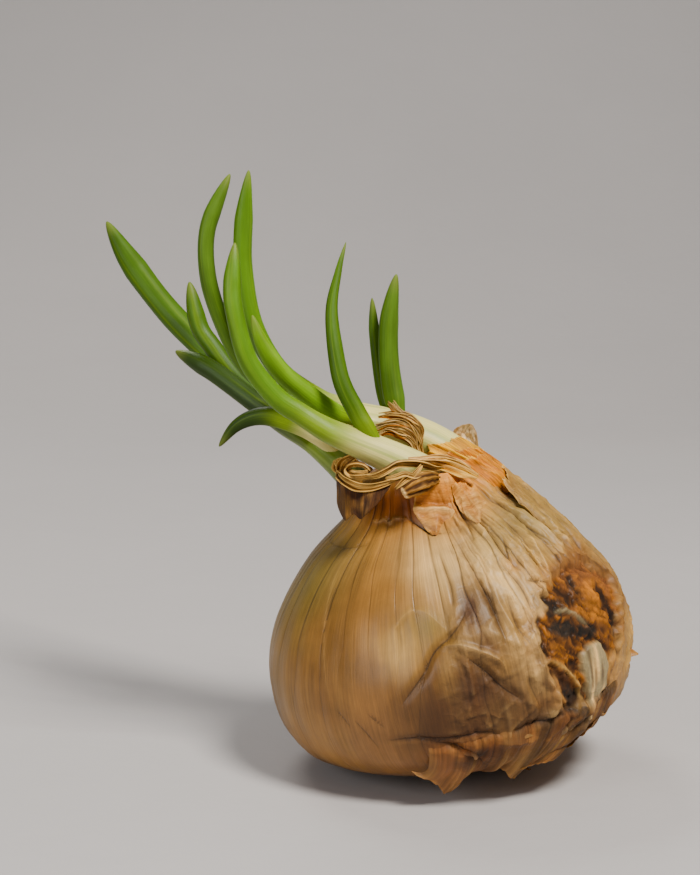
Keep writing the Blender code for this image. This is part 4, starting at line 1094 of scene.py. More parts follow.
class Skin:
    """The onion's skin at a grid of angles and steps: how far it stands out, its colour and its gloss."""

    def __init__(self, angle, t):
        angle, t = np.broadcast_arrays(angle, t)
        self.base, self.normal, self.height, self.reach = bulb_base(angle, t)
        self.angle = (angle + math.pi) % (2 * math.pi) - math.pi
        self.degrees = np.degrees(self.angle)
        self.relief = np.zeros(angle.shape)
        self.shade_and_ink = np.zeros(angle.shape)
        self.paint = plain("gold", angle)
        self.rough = np.zeros(angle.shape)
        self.line_gap = np.full(angle.shape, NO_LINE)
        self.line_shade_and_ink = np.zeros(angle.shape)
        self.dents()
        self.measure_wrinkled()
        self.veins()
        self.wrinkles()
        self.patches()
        self.folds()
        self.crater()
        self.shade()

    def draw(self, gap, shade_and_ink):
        """Keep the nearest line for the finish to draw: the distance to it and how dark it is, from vein
        colour and painted shade, or how pale, a painted highlight.
        """
        nearer = np.abs(gap) < np.abs(self.line_gap)
        seen = shade_and_ink * (1.0 - ease(np.abs(gap) / LINE_REACH))
        self.line_gap = np.where(nearer, gap, self.line_gap)
        self.line_shade_and_ink = np.where(nearer, seen, self.line_shade_and_ink)

    def dents(self):
        """Shallow dents and swellings, and a slow unevenness all over."""
        for middle, reach, rise in DENTS:
            gap = np.linalg.norm(self.base - np.array(middle), axis=-1)
            self.relief = self.relief + rise * bell(gap / reach)
        self.relief = self.relief + 0.35 * noise(self.base / 16.0, 3) * ease((self.height - 9.0) / 10.0)

    def measure_wrinkled(self):
        """1 on the papery half at the front right, 0 on the smooth one."""
        heights, starts = zip(*WRINKLED_FROM)
        start = np.interp(self.height, heights, starts) + 5.0 * noise(self.base / 9.0, 5)
        self.wrinkled = ease((self.degrees - start) / 10.0) * ease((80.0 - self.degrees) / 30.0)
        self.wrinkled = self.wrinkled * ease((self.height - 9.0) / 8.0) * ease((80.0 - self.height) / 6.0)

    def veins(self):
        """Lines that run from the neck to the root plate, with the skin slightly full between them."""
        wander = around(self.angle, 4.0, self.height / 24.0)
        turn = self.angle / (2 * math.pi) * VEINS + 0.5 * noise(wander, 7) + 0.2 * noise(3.0 * wander, 8)
        cell = np.floor(turn)
        number = at(np.mod(cell, VEINS), 0.0, 0.0).astype(np.int64)
        offset = turn - cell - 0.5 - 0.4 * (lattice(number, 9) - 0.5)
        gap = offset * 2 * math.pi / VEINS * np.maximum(self.reach, 6.0)
        strength = 0.15 + 0.85 * lattice(number, 10) ** 2
        seen = ease((self.height - 8.0) / 8.0) * ease((81.0 - self.height) / 6.0)
        groove = bell(gap / VEIN_HALF) * strength * seen
        self.relief = self.relief - (0.08 + 0.16 * self.wrinkled) * groove
        self.relief = self.relief - 0.07 * np.cos(2 * math.pi * offset) * seen
        # Painted shade in the vein grooves.
        self.shade_and_ink = self.shade_and_ink + groove * 0.15
        upper = ease((self.height - 42.0) / 16.0)
        self.draw(gap, seen * (0.55 * strength * (1.0 - upper) + (0.4 + 0.6 * strength) * upper))
        self.band = lattice(number, 12) - 0.5

    def wrinkles(self):
        """Long folds, hollows and crumples on the papery half, and slow ripples on the smooth one."""
        flow = at(np.radians(self.degrees) * 38.0, self.height, 0.0)
        bent = flow + 2.2 * at(noise(flow / 9.0, 21), noise(flow / 9.0, 22), 0.0)
        x, y = bent[..., 0], bent[..., 1]
        long_folds = ridged(1.7 * noise(at(x / 5.5, y / 22.0, 0.3), 23, 2), 2.5)
        hollows = ridged(1.7 * noise(at(x / 7.0 + y / 30.0, y / 16.0, 0.7), 24, 2), 3.0)
        slant = ridged(1.8 * noise(at((x + 0.6 * y) / 9.0, (y - 0.6 * x) / 5.0, 0.1), 25, 2), 4.0)
        crumple = ridged(1.8 * noise(at(x / 2.6, y / 5.5, 0.5), 26, 2), 3.0)
        rise = 0.6 * long_folds - 0.5 * hollows + 0.4 * slant - 0.08 * crumple
        self.relief = self.relief + rise * self.wrinkled
        # Painted shade in the hollows and crumples, painted highlight on the long folds and slants.
        shade_and_ink = 0.45 * hollows - 0.25 * long_folds - 0.2 * slant + 0.2 * crumple
        self.shade_and_ink = self.shade_and_ink + self.wrinkled * shade_and_ink
        calm = (1.0 - self.wrinkled) * ease((self.height - 8.0) / 10.0)
        ripple = noise(around(self.angle, 9.0, self.height / 30.0), 27, 2)
        self.relief = self.relief + 0.16 * ripple * calm
        self.rough = self.rough + 0.14 * self.wrinkled

    def patches(self):
        """The ground colour, streaked and clouded, with the patches on it."""
        streak = noise(around(self.angle, 14.0, self.height / 18.0), 31, 2)
        cloud = noise(self.base / 11.0, 32, 3)
        self.paint = mix(self.paint, "amber", 0.45 + 0.5 * cloud)
        self.paint = mix(self.paint, "tan", 0.55 * self.wrinkled + 0.25 * streak)
        self.paint = mix(self.paint, "umber", 0.12 - 0.2 * streak)
        for degrees, height, breadth, length, tone, strength in PATCHES:
            away = (self.degrees - degrees + 180.0) % 360.0 - 180.0
            across = np.radians(away) * np.maximum(self.reach, 8.0) / breadth
            along = (self.height - height) / length
            edge = 1.0 + 0.35 * noise(self.base / 5.0, 33)
            self.paint = mix(self.paint, tone, strength * np.exp(-(across**2 + along**2) * edge))
        low = ease((14.0 - self.height) / 8.0)
        self.paint = mix(self.paint, "tan", 0.6 * low)

    def folds(self):
        """The folds and lines of the table, each slim at its ends."""
        for half_width, rise, shade_and_ink, points in FOLDS:
            gap, share = line_distance(self.base, self.normal, points)
            near = bell(gap / (half_width * FOLD_SLIMNESS)) * taper(share)
            self.relief = self.relief + FOLD_GROWTH * rise * near
            # Painted shade in each groove and painted highlight on each ridge, and a drawn line along it.
            self.shade_and_ink = self.shade_and_ink + 0.6 * shade_and_ink * near
            self.draw(gap, 1.1 * shade_and_ink * taper(share))

    def crater(self):
        """The rotten hollow: torn tissue and strings in it, a pale scale, cords, and a stain round it."""
        wobble = 1.3 * noise(self.base / 2.6, 41, 2)
        depth = inside_outline(self.angle, self.height, CRATER) + wobble
        hollow = ease(depth / 2.0)
        rim = bell((depth + 0.4) / 0.8)
        warp = self.base + 1.4 * at(*(noise(self.base / 2.4, seed) for seed in (42, 43, 44)))
        tissue = ridged(1.6 * noise(warp / 3.4, 45, 3), 2.0)
        x, y = np.radians(self.degrees) * MEAN_REACH + warp[..., 1] - self.base[..., 1], self.height
        slanting = at((0.75 * x + 0.66 * y) / 1.3, (0.66 * x - 0.75 * y) / 7.0, 0.4)
        strings = ridged(1.7 * noise(slanting, 55, 2), 1.6)
        grit = noise(warp / 1.2, 46, 2)
        streak = noise(at(warp[..., 0] / 0.9, warp[..., 1] / 0.9, warp[..., 2] / 4.0), 50, 2)
        scale = ease((inside_outline(self.angle, self.height, SCALE) + 0.5 * wobble) / 1.2)
        rotten = hollow * (1.0 - scale)
        self.relief = self.relief * (1.0 - 0.75 * hollow) + 0.5 * rim
        self.relief = self.relief - CRATER_DEPTH * hollow
        self.relief = self.relief + rotten * (0.8 * tissue + 0.5 * strings + 0.06 * grit)
        self.relief = self.relief + scale * (0.5 + 1.1 * hollow)
        # Inside the hollow the painted shade is cleared, and its rim gets a dark line.
        self.shade_and_ink = self.shade_and_ink * (1.0 - hollow) + 0.5 * rim
        # Darker down between the raised tissue and strings: rot colour and painted shade.
        tone = mix(plain("rot", depth), "rot_orange", 0.7 * (tissue - 0.4) + 0.8 * strings)
        tone = mix(tone, "dark", 0.85 - 1.1 * tissue - 0.5 * strings)
        for degrees, height, breadth, length, name, strength in ROT_PATCHES:
            across = np.radians(self.degrees - degrees) * self.reach / breadth
            along = (self.height - height) / length
            away = np.sqrt(across**2 + along**2) + 0.35 * noise(warp / 1.7, 47, 2) + 0.5 * streak
            tone = mix(tone, name, strength * ease(1.6 - 1.3 * away))
        # Lighter on the raised strings: painted highlight, with painted shade between them.
        tone = tone * (0.55 + 0.75 * strings)[..., None]
        self.paint = mix(self.paint, tone, rotten)
        pale_streaks = noise(at(self.degrees / 1.6, self.height / 7.0, 0.0), 48, 2)
        dark_streaks = noise(at(self.degrees / 0.9, self.height / 9.0, 0.0), 54)
        scale_tone = mix(plain("grey_green", depth), "cream", 0.1 + pale_streaks)
        scale_tone = mix(scale_tone, "umber", 1.2 * dark_streaks - 0.4)
        self.paint = mix(self.paint, scale_tone, scale)
        for points, name in CORDS:
            gap, share = line_distance(self.base, self.normal, points)
            cord = hollow * bell(gap / CORD_HALF) * taper(share)
            self.relief = self.relief + CORD_RISE * cord
            self.paint = mix(self.paint, name, 0.8 * cord)
        self.rough = self.rough + 0.3 * rotten
        self.line_shade_and_ink = self.line_shade_and_ink * (1.0 - rotten)
        self.rotten = rotten
        stain = ease((depth + 7.0) / 8.0) * (1.0 - hollow)
        self.paint = mix(self.paint, "rust", 0.35 * stain * (0.6 + 0.8 * noise(self.base / 3.0, 49, 2)))

    def shade(self):
        """The bands between the veins, the painted shade of every groove, line and hollow so far, and the
        painted highlight of every ridge.
        """
        light = 1.0 + 0.16 * self.band * (1.0 - 0.3 * self.wrinkled)
        self.paint = self.paint * light[..., None]
        # Umber for the painted shade, cream for the painted highlight.
        self.paint = mix(self.paint, "umber", np.clip(self.shade_and_ink, 0.0, 1.0) * 0.75)
        self.paint = mix(self.paint, "cream", np.clip(-self.shade_and_ink, 0.0, 1.0) * 0.5)
        self.paint = np.clip(self.paint, 0.0, 1.0)
        self.rough = self.rough + 0.25 * ease(1.0 - self.paint[..., 0] / 0.16)

    def places(self, lift=0.0):
        """The skin's points, with any lift off the bulb."""
        return self.base + self.normal * (self.relief + lift)[..., None]

    def layers(self, paint=None, fibres=70.0, length=16.0):
        """What the finish reads at each place."""
        grain = around(self.angle, fibres, self.height / length)
        crumple = 0.8 * self.wrinkled * (1.0 - self.rotten) + 0.5 * self.rotten
        crease = at(self.line_gap, self.line_shade_and_ink, crumple)
        return {"paint": self.paint if paint is None else paint, "rough": self.rough, "grain": grain,
                "crease": crease}


def thorn_body():
    """A small dry point that stands out of the skin on the right."""
    v, u = grid(*THORN_GRID)
    place = THORN[0] + (THORN[1] - THORN[0]) * v[..., None]
    place = place + np.array((0.3, 0.5, 1.0)) * ((u - 0.5) * THORN_WIDTH * (1.0 - 0.9 * v))[..., None]
    place[..., 1] += 0.5 * np.sin(math.pi * u) * (1.0 - v)
    paint = mix(plain("rust", u), "straw", ease(v))
    crease = at(NO_LINE, 0.0, np.full(u.shape, 0.2))
    return sheet_body(place, paint=paint, rough=0.0, grain=at(u * 6.0, v, 0.0), crease=crease)


def make_bulb():
    """The skin of the bulb, down to the flat spot that it rests on, with its thorn."""
    rows, columns = BULB_GRID
    # Columns stand closer at the front right, where the skin is most wrinkled, and rows above the underside.
    turn = ring(columns)
    angle = turn - 0.5 * np.sin(turn + math.radians(60.0))
    fine = np.linspace(0.002, 0.998, BULB_STEPS)
    profile = spline(BULB_ROWS, fine)
    steps = np.hypot(np.diff(profile[:, 0]), np.diff(profile[:, 1]))
    steps = steps * np.where(profile[1:, 0] < UNDERSIDE, UNDERSIDE_STEP, 1.0)
    length = np.concatenate(([0.0], np.cumsum(steps)))
    t = np.interp(np.linspace(0.0, length[-1], rows), length, fine)
    skin = Skin(angle, t[:, None])
    places = skin.places()
    places[..., 2] = np.maximum(places[..., 2], 0.0)
    body = tube_body(places, **skin.layers())
    return add_piece("bulb_skin", [body, thorn_body()], FINISHES["skin"], "bulb", "bulb")


def make_outer_skin():
    """The outer skin over the right shoulder. It clings in front and is loose behind the slit."""
    v, u = grid(*CLINGING_GRID)
    degrees, low, high = np.moveaxis(spline(OUTER_SKIN_ROWS, 0.52 * u), -1, 0)
    height = low + (high - low) * v
    clinging = Skin(np.radians(degrees), step_at(height))
    rim = np.minimum(np.minimum(u, 1.0 - u) / 0.06, np.minimum(v, 1.0 - v) / 0.12)
    bodies = [sheet_body(clinging.places(-RIM_SINK + 0.5 * ease(rim)), **clinging.layers())]
    v, u = grid(*LOOSE_GRID)
    _, low, high = np.moveaxis(spline(OUTER_SKIN_ROWS, 0.5 + 0.5 * u), -1, 0)
    high = high - 3.6 * ragged(u, 26, 3)
    height = low + (high - low) * v
    slit = np.interp(height, *zip(*SLIT)) + 0.8 * ragged(v, 16, 8)
    degrees = slit + (OUTER_SKIN_ROWS[-1][0] - slit) * u
    loose = Skin(np.radians(degrees), step_at(height))
    open_edge = ease((height - 57.0) / 9.0)
    held = ease(v / 0.12) * ease((1.0 - u) / 0.08) * np.maximum(ease(u / 0.06), open_edge)
    curl = SKIN_CURL * v**3 * bell((degrees - 4.0) / 26.0)
    curl = curl + 0.5 * v * noise(at(degrees / 7.0, height / 9.0, 0.0), 51)
    lift = -RIM_SINK + 0.6 * held + held * (0.5 * v + curl) + 0.7 * open_edge * ease(1.0 - 12.0 * u)
    rim = np.maximum(ease(1.0 - u / 0.012) * open_edge, ease(1.0 - (1.0 - v) / 0.03))
    paint = mix(loose.paint, "straw", 0.3 * v)
    # The slit's open edge and the top edge are pale: the torn edge's colour, partly a painted highlight.
    paint = mix(paint, "straw_pale", 0.6 * rim)
    bodies.append(sheet_body(loose.places(lift), **loose.layers(paint)))
    return add_piece("outer_skin", bodies, FINISHES["skin"], "skin", "outer_skin_right")


def make_flap():
    """The torn skin low on the right, which hangs clear of the bulb."""
    v, u = grid(*FLAP_GRID)
    degrees = FLAP_ANGLES[0] + (FLAP_ANGLES[1] - FLAP_ANGLES[0]) * u
    height = FLAP_TOP + FLAP_TEAR - FLAP_TEAR * ragged(u, 18, 61) * (1.0 - v) - FLAP_DROP * v
    lying = Skin(np.radians(degrees), step_at(height))
    hem = spline(FLAP_HEM, u)
    place = lying.places(-RIM_SINK + 0.8 * ease(v / 0.16) + 0.5 * v)
    place = place + (hem - place) * (v**2)[..., None]
    crinkle = 0.7 * v * noise(at(u * 26.0, v * 2.5, 0.0), 62, 2)
    crinkle = crinkle + 0.5 * v * noise(at(u * 9.0, v * 4.0, 0.5), 63)
    place = place + lying.normal * crinkle[..., None]
    place = place + AXIS * (0.9 * v**3 * (ragged(u, 60, 64) - 0.3))[..., None]
    loose = ease(v / 0.3)
    tone = mix(lying.paint, "rust", loose * (0.3 + 0.4 * noise(at(u * 8.0, v * 3.0, 0.0), 65, 2)))
    tone = mix(tone, "tan", 0.5 * loose * ease(noise(at(u * 34.0, v * 1.5, 0.0), 66)))
    tone = mix(tone, "plum", 0.7 * loose * ease(noise(at(u * 22.0, v * 1.2, 0.0), 67) + 0.2))
    spots = ease(0.4 + noise(at(u * 14.0, v * 5.0, 0.0), 68, 2))
    tone = mix(tone, "mould", 0.8 * ease((u - 0.4) / 0.2) * (1.0 - v) * spots)
    tone = mix(tone, "pink", 0.5 * loose * ease((0.3 - u) / 0.25))
    # Painted shade of the opening above the flap's left part.
    tone = mix(tone, "dark", 0.9 * np.exp(-(((degrees + 87.0) / 7.0) ** 2) - ((v - 0.36) / 0.16) ** 2))
    tone = mix(tone, "peach", 0.3 * ease(1.0 - (1.0 - v) / 0.04))
    body = sheet_body(place, **lying.layers(tone))
    return add_piece("skin_flap", [body], FINISHES["dry"], "skin", "skin_flap_bottom")


def neck_sheet(rows, seed, lift, folds, tone):
    """A sheet over the neck between its left and right ends, folded level across."""
    v, u = grid(*NECK_GRID)
    left_angle, left_height, right_angle, right_height = np.moveaxis(spline(rows, v), -1, 0)
    u = u + 0.03 * (ragged(v, 14, seed) - 0.5)
    height = left_height + (right_height - left_height) * u
    skin = Skin(np.radians(left_angle + (right_angle - left_angle) * u), step_at(height))
    waves = folds(u, v) + 0.35 * noise(at(u * 4.0, v * 7.0, 0.0), seed + 1, 2)
    rise = lift(u, v) + waves
    # Cream on the crests of the folds and rust in their troughs: painted highlight and painted shade.
    paint = mix(plain(tone, u), "cream", 0.1 + 0.5 * waves)
    paint = mix(paint, "rust", 0.45 - 0.7 * waves + 0.3 * noise(at(u * 3.0, v * 14.0, 0.0), seed + 2, 2))
    paint = mix(paint, "husk_glow", 0.7 * (1.0 - v) ** 2)
    rim = np.minimum(np.minimum(u, 1.0 - u), np.minimum(v, 1.0 - v) + 0.04)
    paint = mix(paint, "straw_pale", 0.4 * (1.0 - ease(rim / 0.05)))
    grain = at(v * 34.0 + 2.0 * u, u * 2.5, 0.0)
    crease = at(NO_LINE, 0.0, np.full(u.shape, 0.5))
    return sheet_body(skin.places(rise), paint=paint, rough=skin.rough, grain=grain, crease=crease)


def make_scrap():
    """The pointed scrap of skin over the front of the neck, and the sheet beside it."""
    bodies = [
        neck_sheet(
            SCRAP_ROWS, 71, lambda u, v: 1.9 - 1.2 * v - 1.3 * ease((u - 0.6) / 0.4),
            lambda u, v: 0.9 * bell((v - 0.6 - 0.04 * u) / 0.05) - 0.9 * bell((v - 0.46) / 0.08), "peach"),
        neck_sheet(
            TONGUE_ROWS, 76, lambda u, v: 1.3 - 0.7 * v - 1.2 * ease((u - 0.55) / 0.45),
            lambda u, v: 0.25 * np.sin(9.0 * u + 2.0 * v), "tan"),
    ]
    return add_piece("skin_scrap", bodies, FINISHES["dry"], "skin", "skin_tip_front")


def leaf_half(spec, length, along):
    """Half a leaf's width along it: a slim foot, an even blade and a drawn-out tip."""
    foot_width, tip_width = spec["width"]
    half = 0.5 * (foot_width + (tip_width - foot_width) * along / length)
    slim = 1.0 - ease((along - SOCKET) / FLARE)
    half = half + (np.minimum(FOOT, half) - half) * slim
    left = np.clip((length - along) / spec["tip"], 0.0, 1.0)
    return half * (0.6 * np.sqrt(1.0 - (1.0 - left) ** 2) + 0.4 * left)


def green_paint(spec, along, turns, seed):
    """From the pale foot to green and a dull tip."""
    first, last = spec["turn"]
    green = ease((along - first) / (last - first))
    cloud = noise(around(turns, 1.0, along / 14.0), seed, 2)
    stripe = noise(around(turns, 6.0, along / 60.0), seed + 5, 2)
    tone = mix(plain(spec["foot"], cloud), "leaf_young", ease(green * 2.0))
    tone = mix(tone, spec["tone"], ease(green * 2.0 - 1.0))
    tone = mix(tone, "leaf_dark", green * (0.12 + 0.45 * cloud))
    tone = mix(tone, "leaf_young", 0.5 * green * np.clip(stripe - 0.1, 0.0, 1.0))
    return mix(tone, "leaf_tip", 0.6 * ease((along - spec["length"] + 6.0) / 6.0))


def ribbed(turns, along, seed, ribs=26, depth=0.035):
    """Fine ridges along a leaf, with a slow waver in its girth."""
    wander = noise(around(turns, 1.5, along / 20.0), seed)
    slow = noise(around(turns, 0.8, along / 11.0), seed + 1)
    return depth * np.cos(ribs * turns + 3.0 * wander) + 0.14 * slow


def leaf_layers(along, turns, paint, fibres=9.0):
    """What the finish reads on a leaf or a shoot."""
    return {"paint": paint, "rough": 0.0, "grain": around(turns, fibres, along / 12.0)}


def make_leaf(name, seed):
    """A leaf from inside its shoot to its tip, where its rings stand closer."""
    spec = LEAVES[name]
    trace = Trace(spec["path"])
    spec["length"] = trace.length
    along = np.linspace(-FOOT_REACH, trace.length, int(trace.length / RING_STEP))
    tip = np.linspace(0.0, 1.0, TIP_RINGS)[1:]
    tip = along[-5] + (trace.length - TIP_GAP - along[-5]) * (1.0 - (1.0 - tip) ** 2)
    along = np.concatenate((along[:-4], tip))[:, None]
    turns = ring(LEAF_SIDES)
    half = leaf_half(spec, trace.length, along)
    relief = ribbed(turns, along, seed) * np.minimum(half / 2.0, 1.0)
    rings = trace.rings(along[:, 0], half + relief, half * FLATNESS + relief, turns)
    paint = green_paint(spec, along, turns, seed)
    body = tube_body(rings, **leaf_layers(along, turns, paint))
    return add_piece("fine_" + name, [body], FINISHES["leaf"], "leaf", name)


def make_shoot(name, seed):
    """A pale shoot that runs on into its own leaf, as one skin."""
    shoot, leaf_name = SHOOTS[name], RUNS_ON[name]
    spec = LEAVES[leaf_name]
    own = Trace(shoot["path"])
    trace = Trace((*shoot["path"][:-1], *spec["path"][1:]))
    leaf_length = Trace(spec["path"]).length
    shift = trace.length - leaf_length
    spec["length"] = leaf_length
    along = np.linspace(0.0, 1.0, int(trace.length / RING_STEP))
    along = trace.length * (along - 0.02 * np.sin(math.pi * along) ** 8)
    tip = trace.length - (trace.length - along[-5]) * np.linspace(1, 0.004, TIP_RINGS) ** 2
    along = np.concatenate((along[:-5], tip))[:, None]
    turns = ring(SHOOT_SIDES)
    shaft = spline(shoot["half"], along[:, 0] / own.length)
    blade = leaf_half(spec, leaf_length, np.maximum(along - shift, SOCKET + FLARE))
    blend = ease((along - own.length + 2.0) / 9.0)
    half_up = shaft[:, :1] * (1.0 - blend) + blade * blend
    half_side = shaft[:, 1:] * (1.0 - blend) + FLATNESS * blade * blend
    relief = ribbed(turns, along, seed, 34) * np.minimum(half_up / 2.0, 1.0)
    rings = trace.rings(along[:, 0], half_up + relief, half_side + relief, turns)
    paint = green_paint(spec, along - shift, turns, seed)
    streak = noise(around(turns, 5.0, along / 25.0), seed + 3, 2)
    pale = 1.0 - ease((along - own.length + 4.0) / 16.0)
    paint = mix(paint, "shoot_green", pale * (0.25 + 0.6 * streak))
    body = tube_body(rings, **leaf_layers(along, turns, paint, 14.0))
    return add_piece("fine_" + name, [body], FINISHES["shoot"], "shoot", name, leaf_name)


def strip_body(points, halves, twists, curl, seed, tones=("straw", "straw_pale", "straw_dark"),
               thickness=HUSK_THICKNESS, columns=STRIP_COLUMNS, fray=0.0):
    """A dry strip: along a path, turned about it, curled across and crinkled along its length."""
    trace = Trace(points)
    rows = max(int(trace.length / STRIP_STEP), STRIP_ROWS)
    v, u = grid(rows, columns)
    across = 2.0 * u - 1.0
    half = spline(halves, v)[..., 0] * (1.0 + 0.16 * noise(at(across, v * trace.length / 4.0, 0.0), seed))
    if fray:
        half = half * (1.0 - fray * ragged(v, 12, seed) * 0.5)
    twist = np.radians(spline(twists, v)[..., 0])
    middle, up, side = trace.frame(v * trace.length)
    x = half * np.sin(curl * across) / curl
    y = half * (1.0 - np.cos(curl * across)) / curl
    furrow = noise(at(across * 5.0, v * trace.length / 9.0, 0.0), seed + 1, 2)
    y = y + 0.3 * np.minimum(half, 1.5) * furrow
    wave = 0.3 * noise(at(v * trace.length / 3.5, 0.0, 0.0), seed + 2)
    flat = np.cos(twist)[..., None] * side + np.sin(twist)[..., None] * up
    tall = np.cos(twist)[..., None] * up - np.sin(twist)[..., None] * side
    place = middle + flat * x[..., None] + tall * (y + wave)[..., None]
    main, light, deep = tones
    # Paler where the furrows stand up and darker where they sink: painted highlight and painted shade.
    paint = mix(plain(main, u), light, 0.25 + 1.2 * furrow)
    paint = mix(paint, deep, 0.1 - 1.3 * furrow)
    paint = mix(paint, deep, 0.5 * ease(0.3 + noise(at(v * 6.0, across, 0.0), seed + 3, 2)))
    paint = mix(paint, light, 0.7 * ease((np.abs(across) - 0.72) / 0.2))
    grain = at(across * 8.0, v * trace.length / 7.0, 0.0)
    return sheet_body(place, thickness, paint=paint, rough=0.0, grain=grain)


def on_shoot(name, along, turn, proud):
    """Places round a shoot, some way proud of its surface."""
    trace = Trace(SHOOTS[name]["path"])
    half = spline(SHOOTS[name]["half"], along / trace.length)
    middle, up, side = trace.frame(along)
    place = middle + up * ((half[..., 0] + proud) * np.cos(turn))[..., None]
    return place + side * ((half[..., 1] + proud) * np.sin(turn))[..., None]


def cuff_body(name, seed, start, end, rise):
    """A torn lip of dry skin round a shoot, from where it leaves the bulb."""
    v, u = grid(*CUFF_GRID)
    turn = np.radians(start + (end - start) * u)
    # For each turn, the first step along the shoot that lies outside the bulb is the lip's foot.
    steps, turns = np.meshgrid(np.linspace(0.0, CUFF_REACH, 90), turn[0], indexing="ij")
    from_root = on_shoot(name, steps, turns, 0.0) - ROOT
    across, out = from_root @ ACROSS, from_root @ SIDE
    reach = bulb_base(np.arctan2(across, out), step_at(from_root @ AXIS))[3]
    foot = steps[np.argmax(np.hypot(across, out) > reach, axis=0), 0]
    foot = np.convolve(np.pad(foot, 6, mode="edge"), np.full(13, 1.0 / 13.0), mode="valid")
    along = foot - 1.2 + (1.2 + rise * (0.45 + 0.55 * ragged(u, 15, seed))) * v
    folds = noise(at(u * 16.0, v * 1.5, 0.0), seed + 1, 2)
    place = on_shoot(name, along, turn, 0.25 + 0.5 * v + 0.45 * folds * (0.3 + v))
    # Paler where the folds stand out and darker where they sink: painted highlight and painted shade.
    paint = mix(plain("straw_dark", u), "straw", 0.45 + 1.1 * folds)
    paint = mix(paint, "straw_pale", 0.5 * ease(1.0 - (1.0 - v) / 0.12))
    return sheet_body(place, paint=paint, rough=0.0, grain=at(u * 50.0, v * 2.0, 0.0))


def skirt_body():
    """The dark skirt that hangs from the rolled strips on the left."""
    v, u = grid(*SKIRT_GRID)
    drop = (v * (1.0 - 0.75 * ease((u - 0.6) / 0.4)))[..., None]
    place = spline(SKIRT_TOP, u) * (1.0 - drop) + spline(SKIRT_HEM, u) * drop
    folds = noise(at(u * 7.0, v * 1.2, 0.0), 81, 2)
    out = unit(place - SKIRT_MIDDLE)
    place = place + out * (0.3 + 0.9 * folds * v + 0.9 * v * (1.0 - v))[..., None]
    place[..., 2] += v * 0.7 * (ragged(u, 9, 82) - 0.35)
    # Paler where the folds stand out and darker where they sink: painted highlight and painted shade.
    paint = mix(plain("umber", u), "straw", 0.8 * folds - 0.05)
    paint = mix(paint, "dark", 0.2 + 0.7 * noise(at(u * 26.0, v * 1.0, 0.0), 83))
    near = np.minimum(u, 1.0 - u) * 12.0 + (1.0 - v) * 1.4
    paint = mix(paint, "straw_pale", 0.6 * (1.0 - ease(near / 0.12)))
    return sheet_body(place, paint=paint, rough=0.0, grain=at(u * 60.0, v * 2.0, 0.0))


def stub_body():
    """A twisted dry stalk with a pale cut end."""
    points, halves = STUB
    trace = Trace(points)
    along = np.linspace(0.0, trace.length, STUB_RINGS)[:, None]
    share = along / trace.length
    turns = ring(STUB_SIDES)
    half = spline(halves, share[:, 0])
    end = ease((share - 0.965) / 0.035)
    ridges = 0.28 * np.cos(7.0 * turns + 4.0 * share) + 0.2 * noise(around(turns, 4.0, along), 91)
    size = (half + ridges) * (1.0 - 0.3 * end)
    # Paler on the ridges and darker between them: painted highlight and painted shade.
    paint = mix(plain("straw_dark", size), "straw", 0.3 + 1.6 * ridges)
    paint = mix(paint, "cream", ease((share - 0.94) / 0.04))
    rings = trace.rings(along[:, 0], size, size * 0.9, turns)
    return tube_body(rings, paint=paint, rough=0.0, grain=around(turns, 8.0, along / 6.0))


def make_collar():
    """The dry strips rolled round the neck, the skirt under them, the stub across them and the lips."""
    bodies = [strip_body(*strip) for strip in COLLAR_STRIPS]
    bodies += [skirt_body(), stub_body()]
    bodies += [cuff_body(*cuff) for cuff in CUFFS]
    return add_piece("collar_strips", bodies, FINISHES["husk"], "husk", "husk_collar")


def sheath_body(layer, start, end, shift, stand, tone):
    """One torn layer of the orange husk."""
    v, u = grid(*SHEATH_GRID)
    spread = start + (end - start) * u
    mouth = spline(SHEATH_MOUTH, spread)[..., 0] - shift - 3.4 * ragged(spread, 13, 21 + layer)
    along = SHEATH_START + (mouth - SHEATH_START) * v
    turn = np.radians(SHEATH_TURNS[0] + (SHEATH_TURNS[1] - SHEATH_TURNS[0]) * spread)
    flow = at(spread * 9.0 + 0.9 * v, v * 1.3, 0.2 * layer)
    folds = ridged(1.6 * noise(flow, 101 + layer, 2), 1.6)
    fine = ridged(1.6 * noise(flow * (3.2, 1.0, 1.0), 104 + layer, 2), 2.0)
    waver = v * noise(at(spread * 6.0, v * 3.0, 0.0), 107 + layer)
    place = on_shoot("shaft_upper", along, turn, stand + 0.6 * folds + 0.2 * fine + 0.5 * waver)
    # Redder down in the folds, a painted shade, and golden on the fine crests, a painted highlight.
    paint = mix(plain(tone, u), "husk_red", 0.75 - 1.0 * folds - 0.2 * v)
    paint = mix(paint, "husk_red", 0.6 * (1.0 - ease(np.minimum(u, 1.0 - u) / 0.08)) * (1.0 - v))
    paint = mix(paint, "husk_gold", 0.25 * fine)
    rim = ease(1.0 - np.minimum(np.minimum(u, 1.0 - u) / 0.012, (1.0 - v) / 0.03))
    paint = mix(paint, "straw_pale", 0.5 * rim)
    return sheet_body(place, HUSK_THICKNESS, paint=paint, rough=0.0, grain=at(spread * 60.0, v * 2.0, 0.0))


def make_sheath():
    """The orange husk round the foot of the upper shoot."""
    bodies = [sheath_body(layer, *sizes) for layer, sizes in enumerate(SHEATH_LAYERS)]
    return add_piece("orange_husk", bodies, FINISHES["sheath"], "husk", "husk_orange")


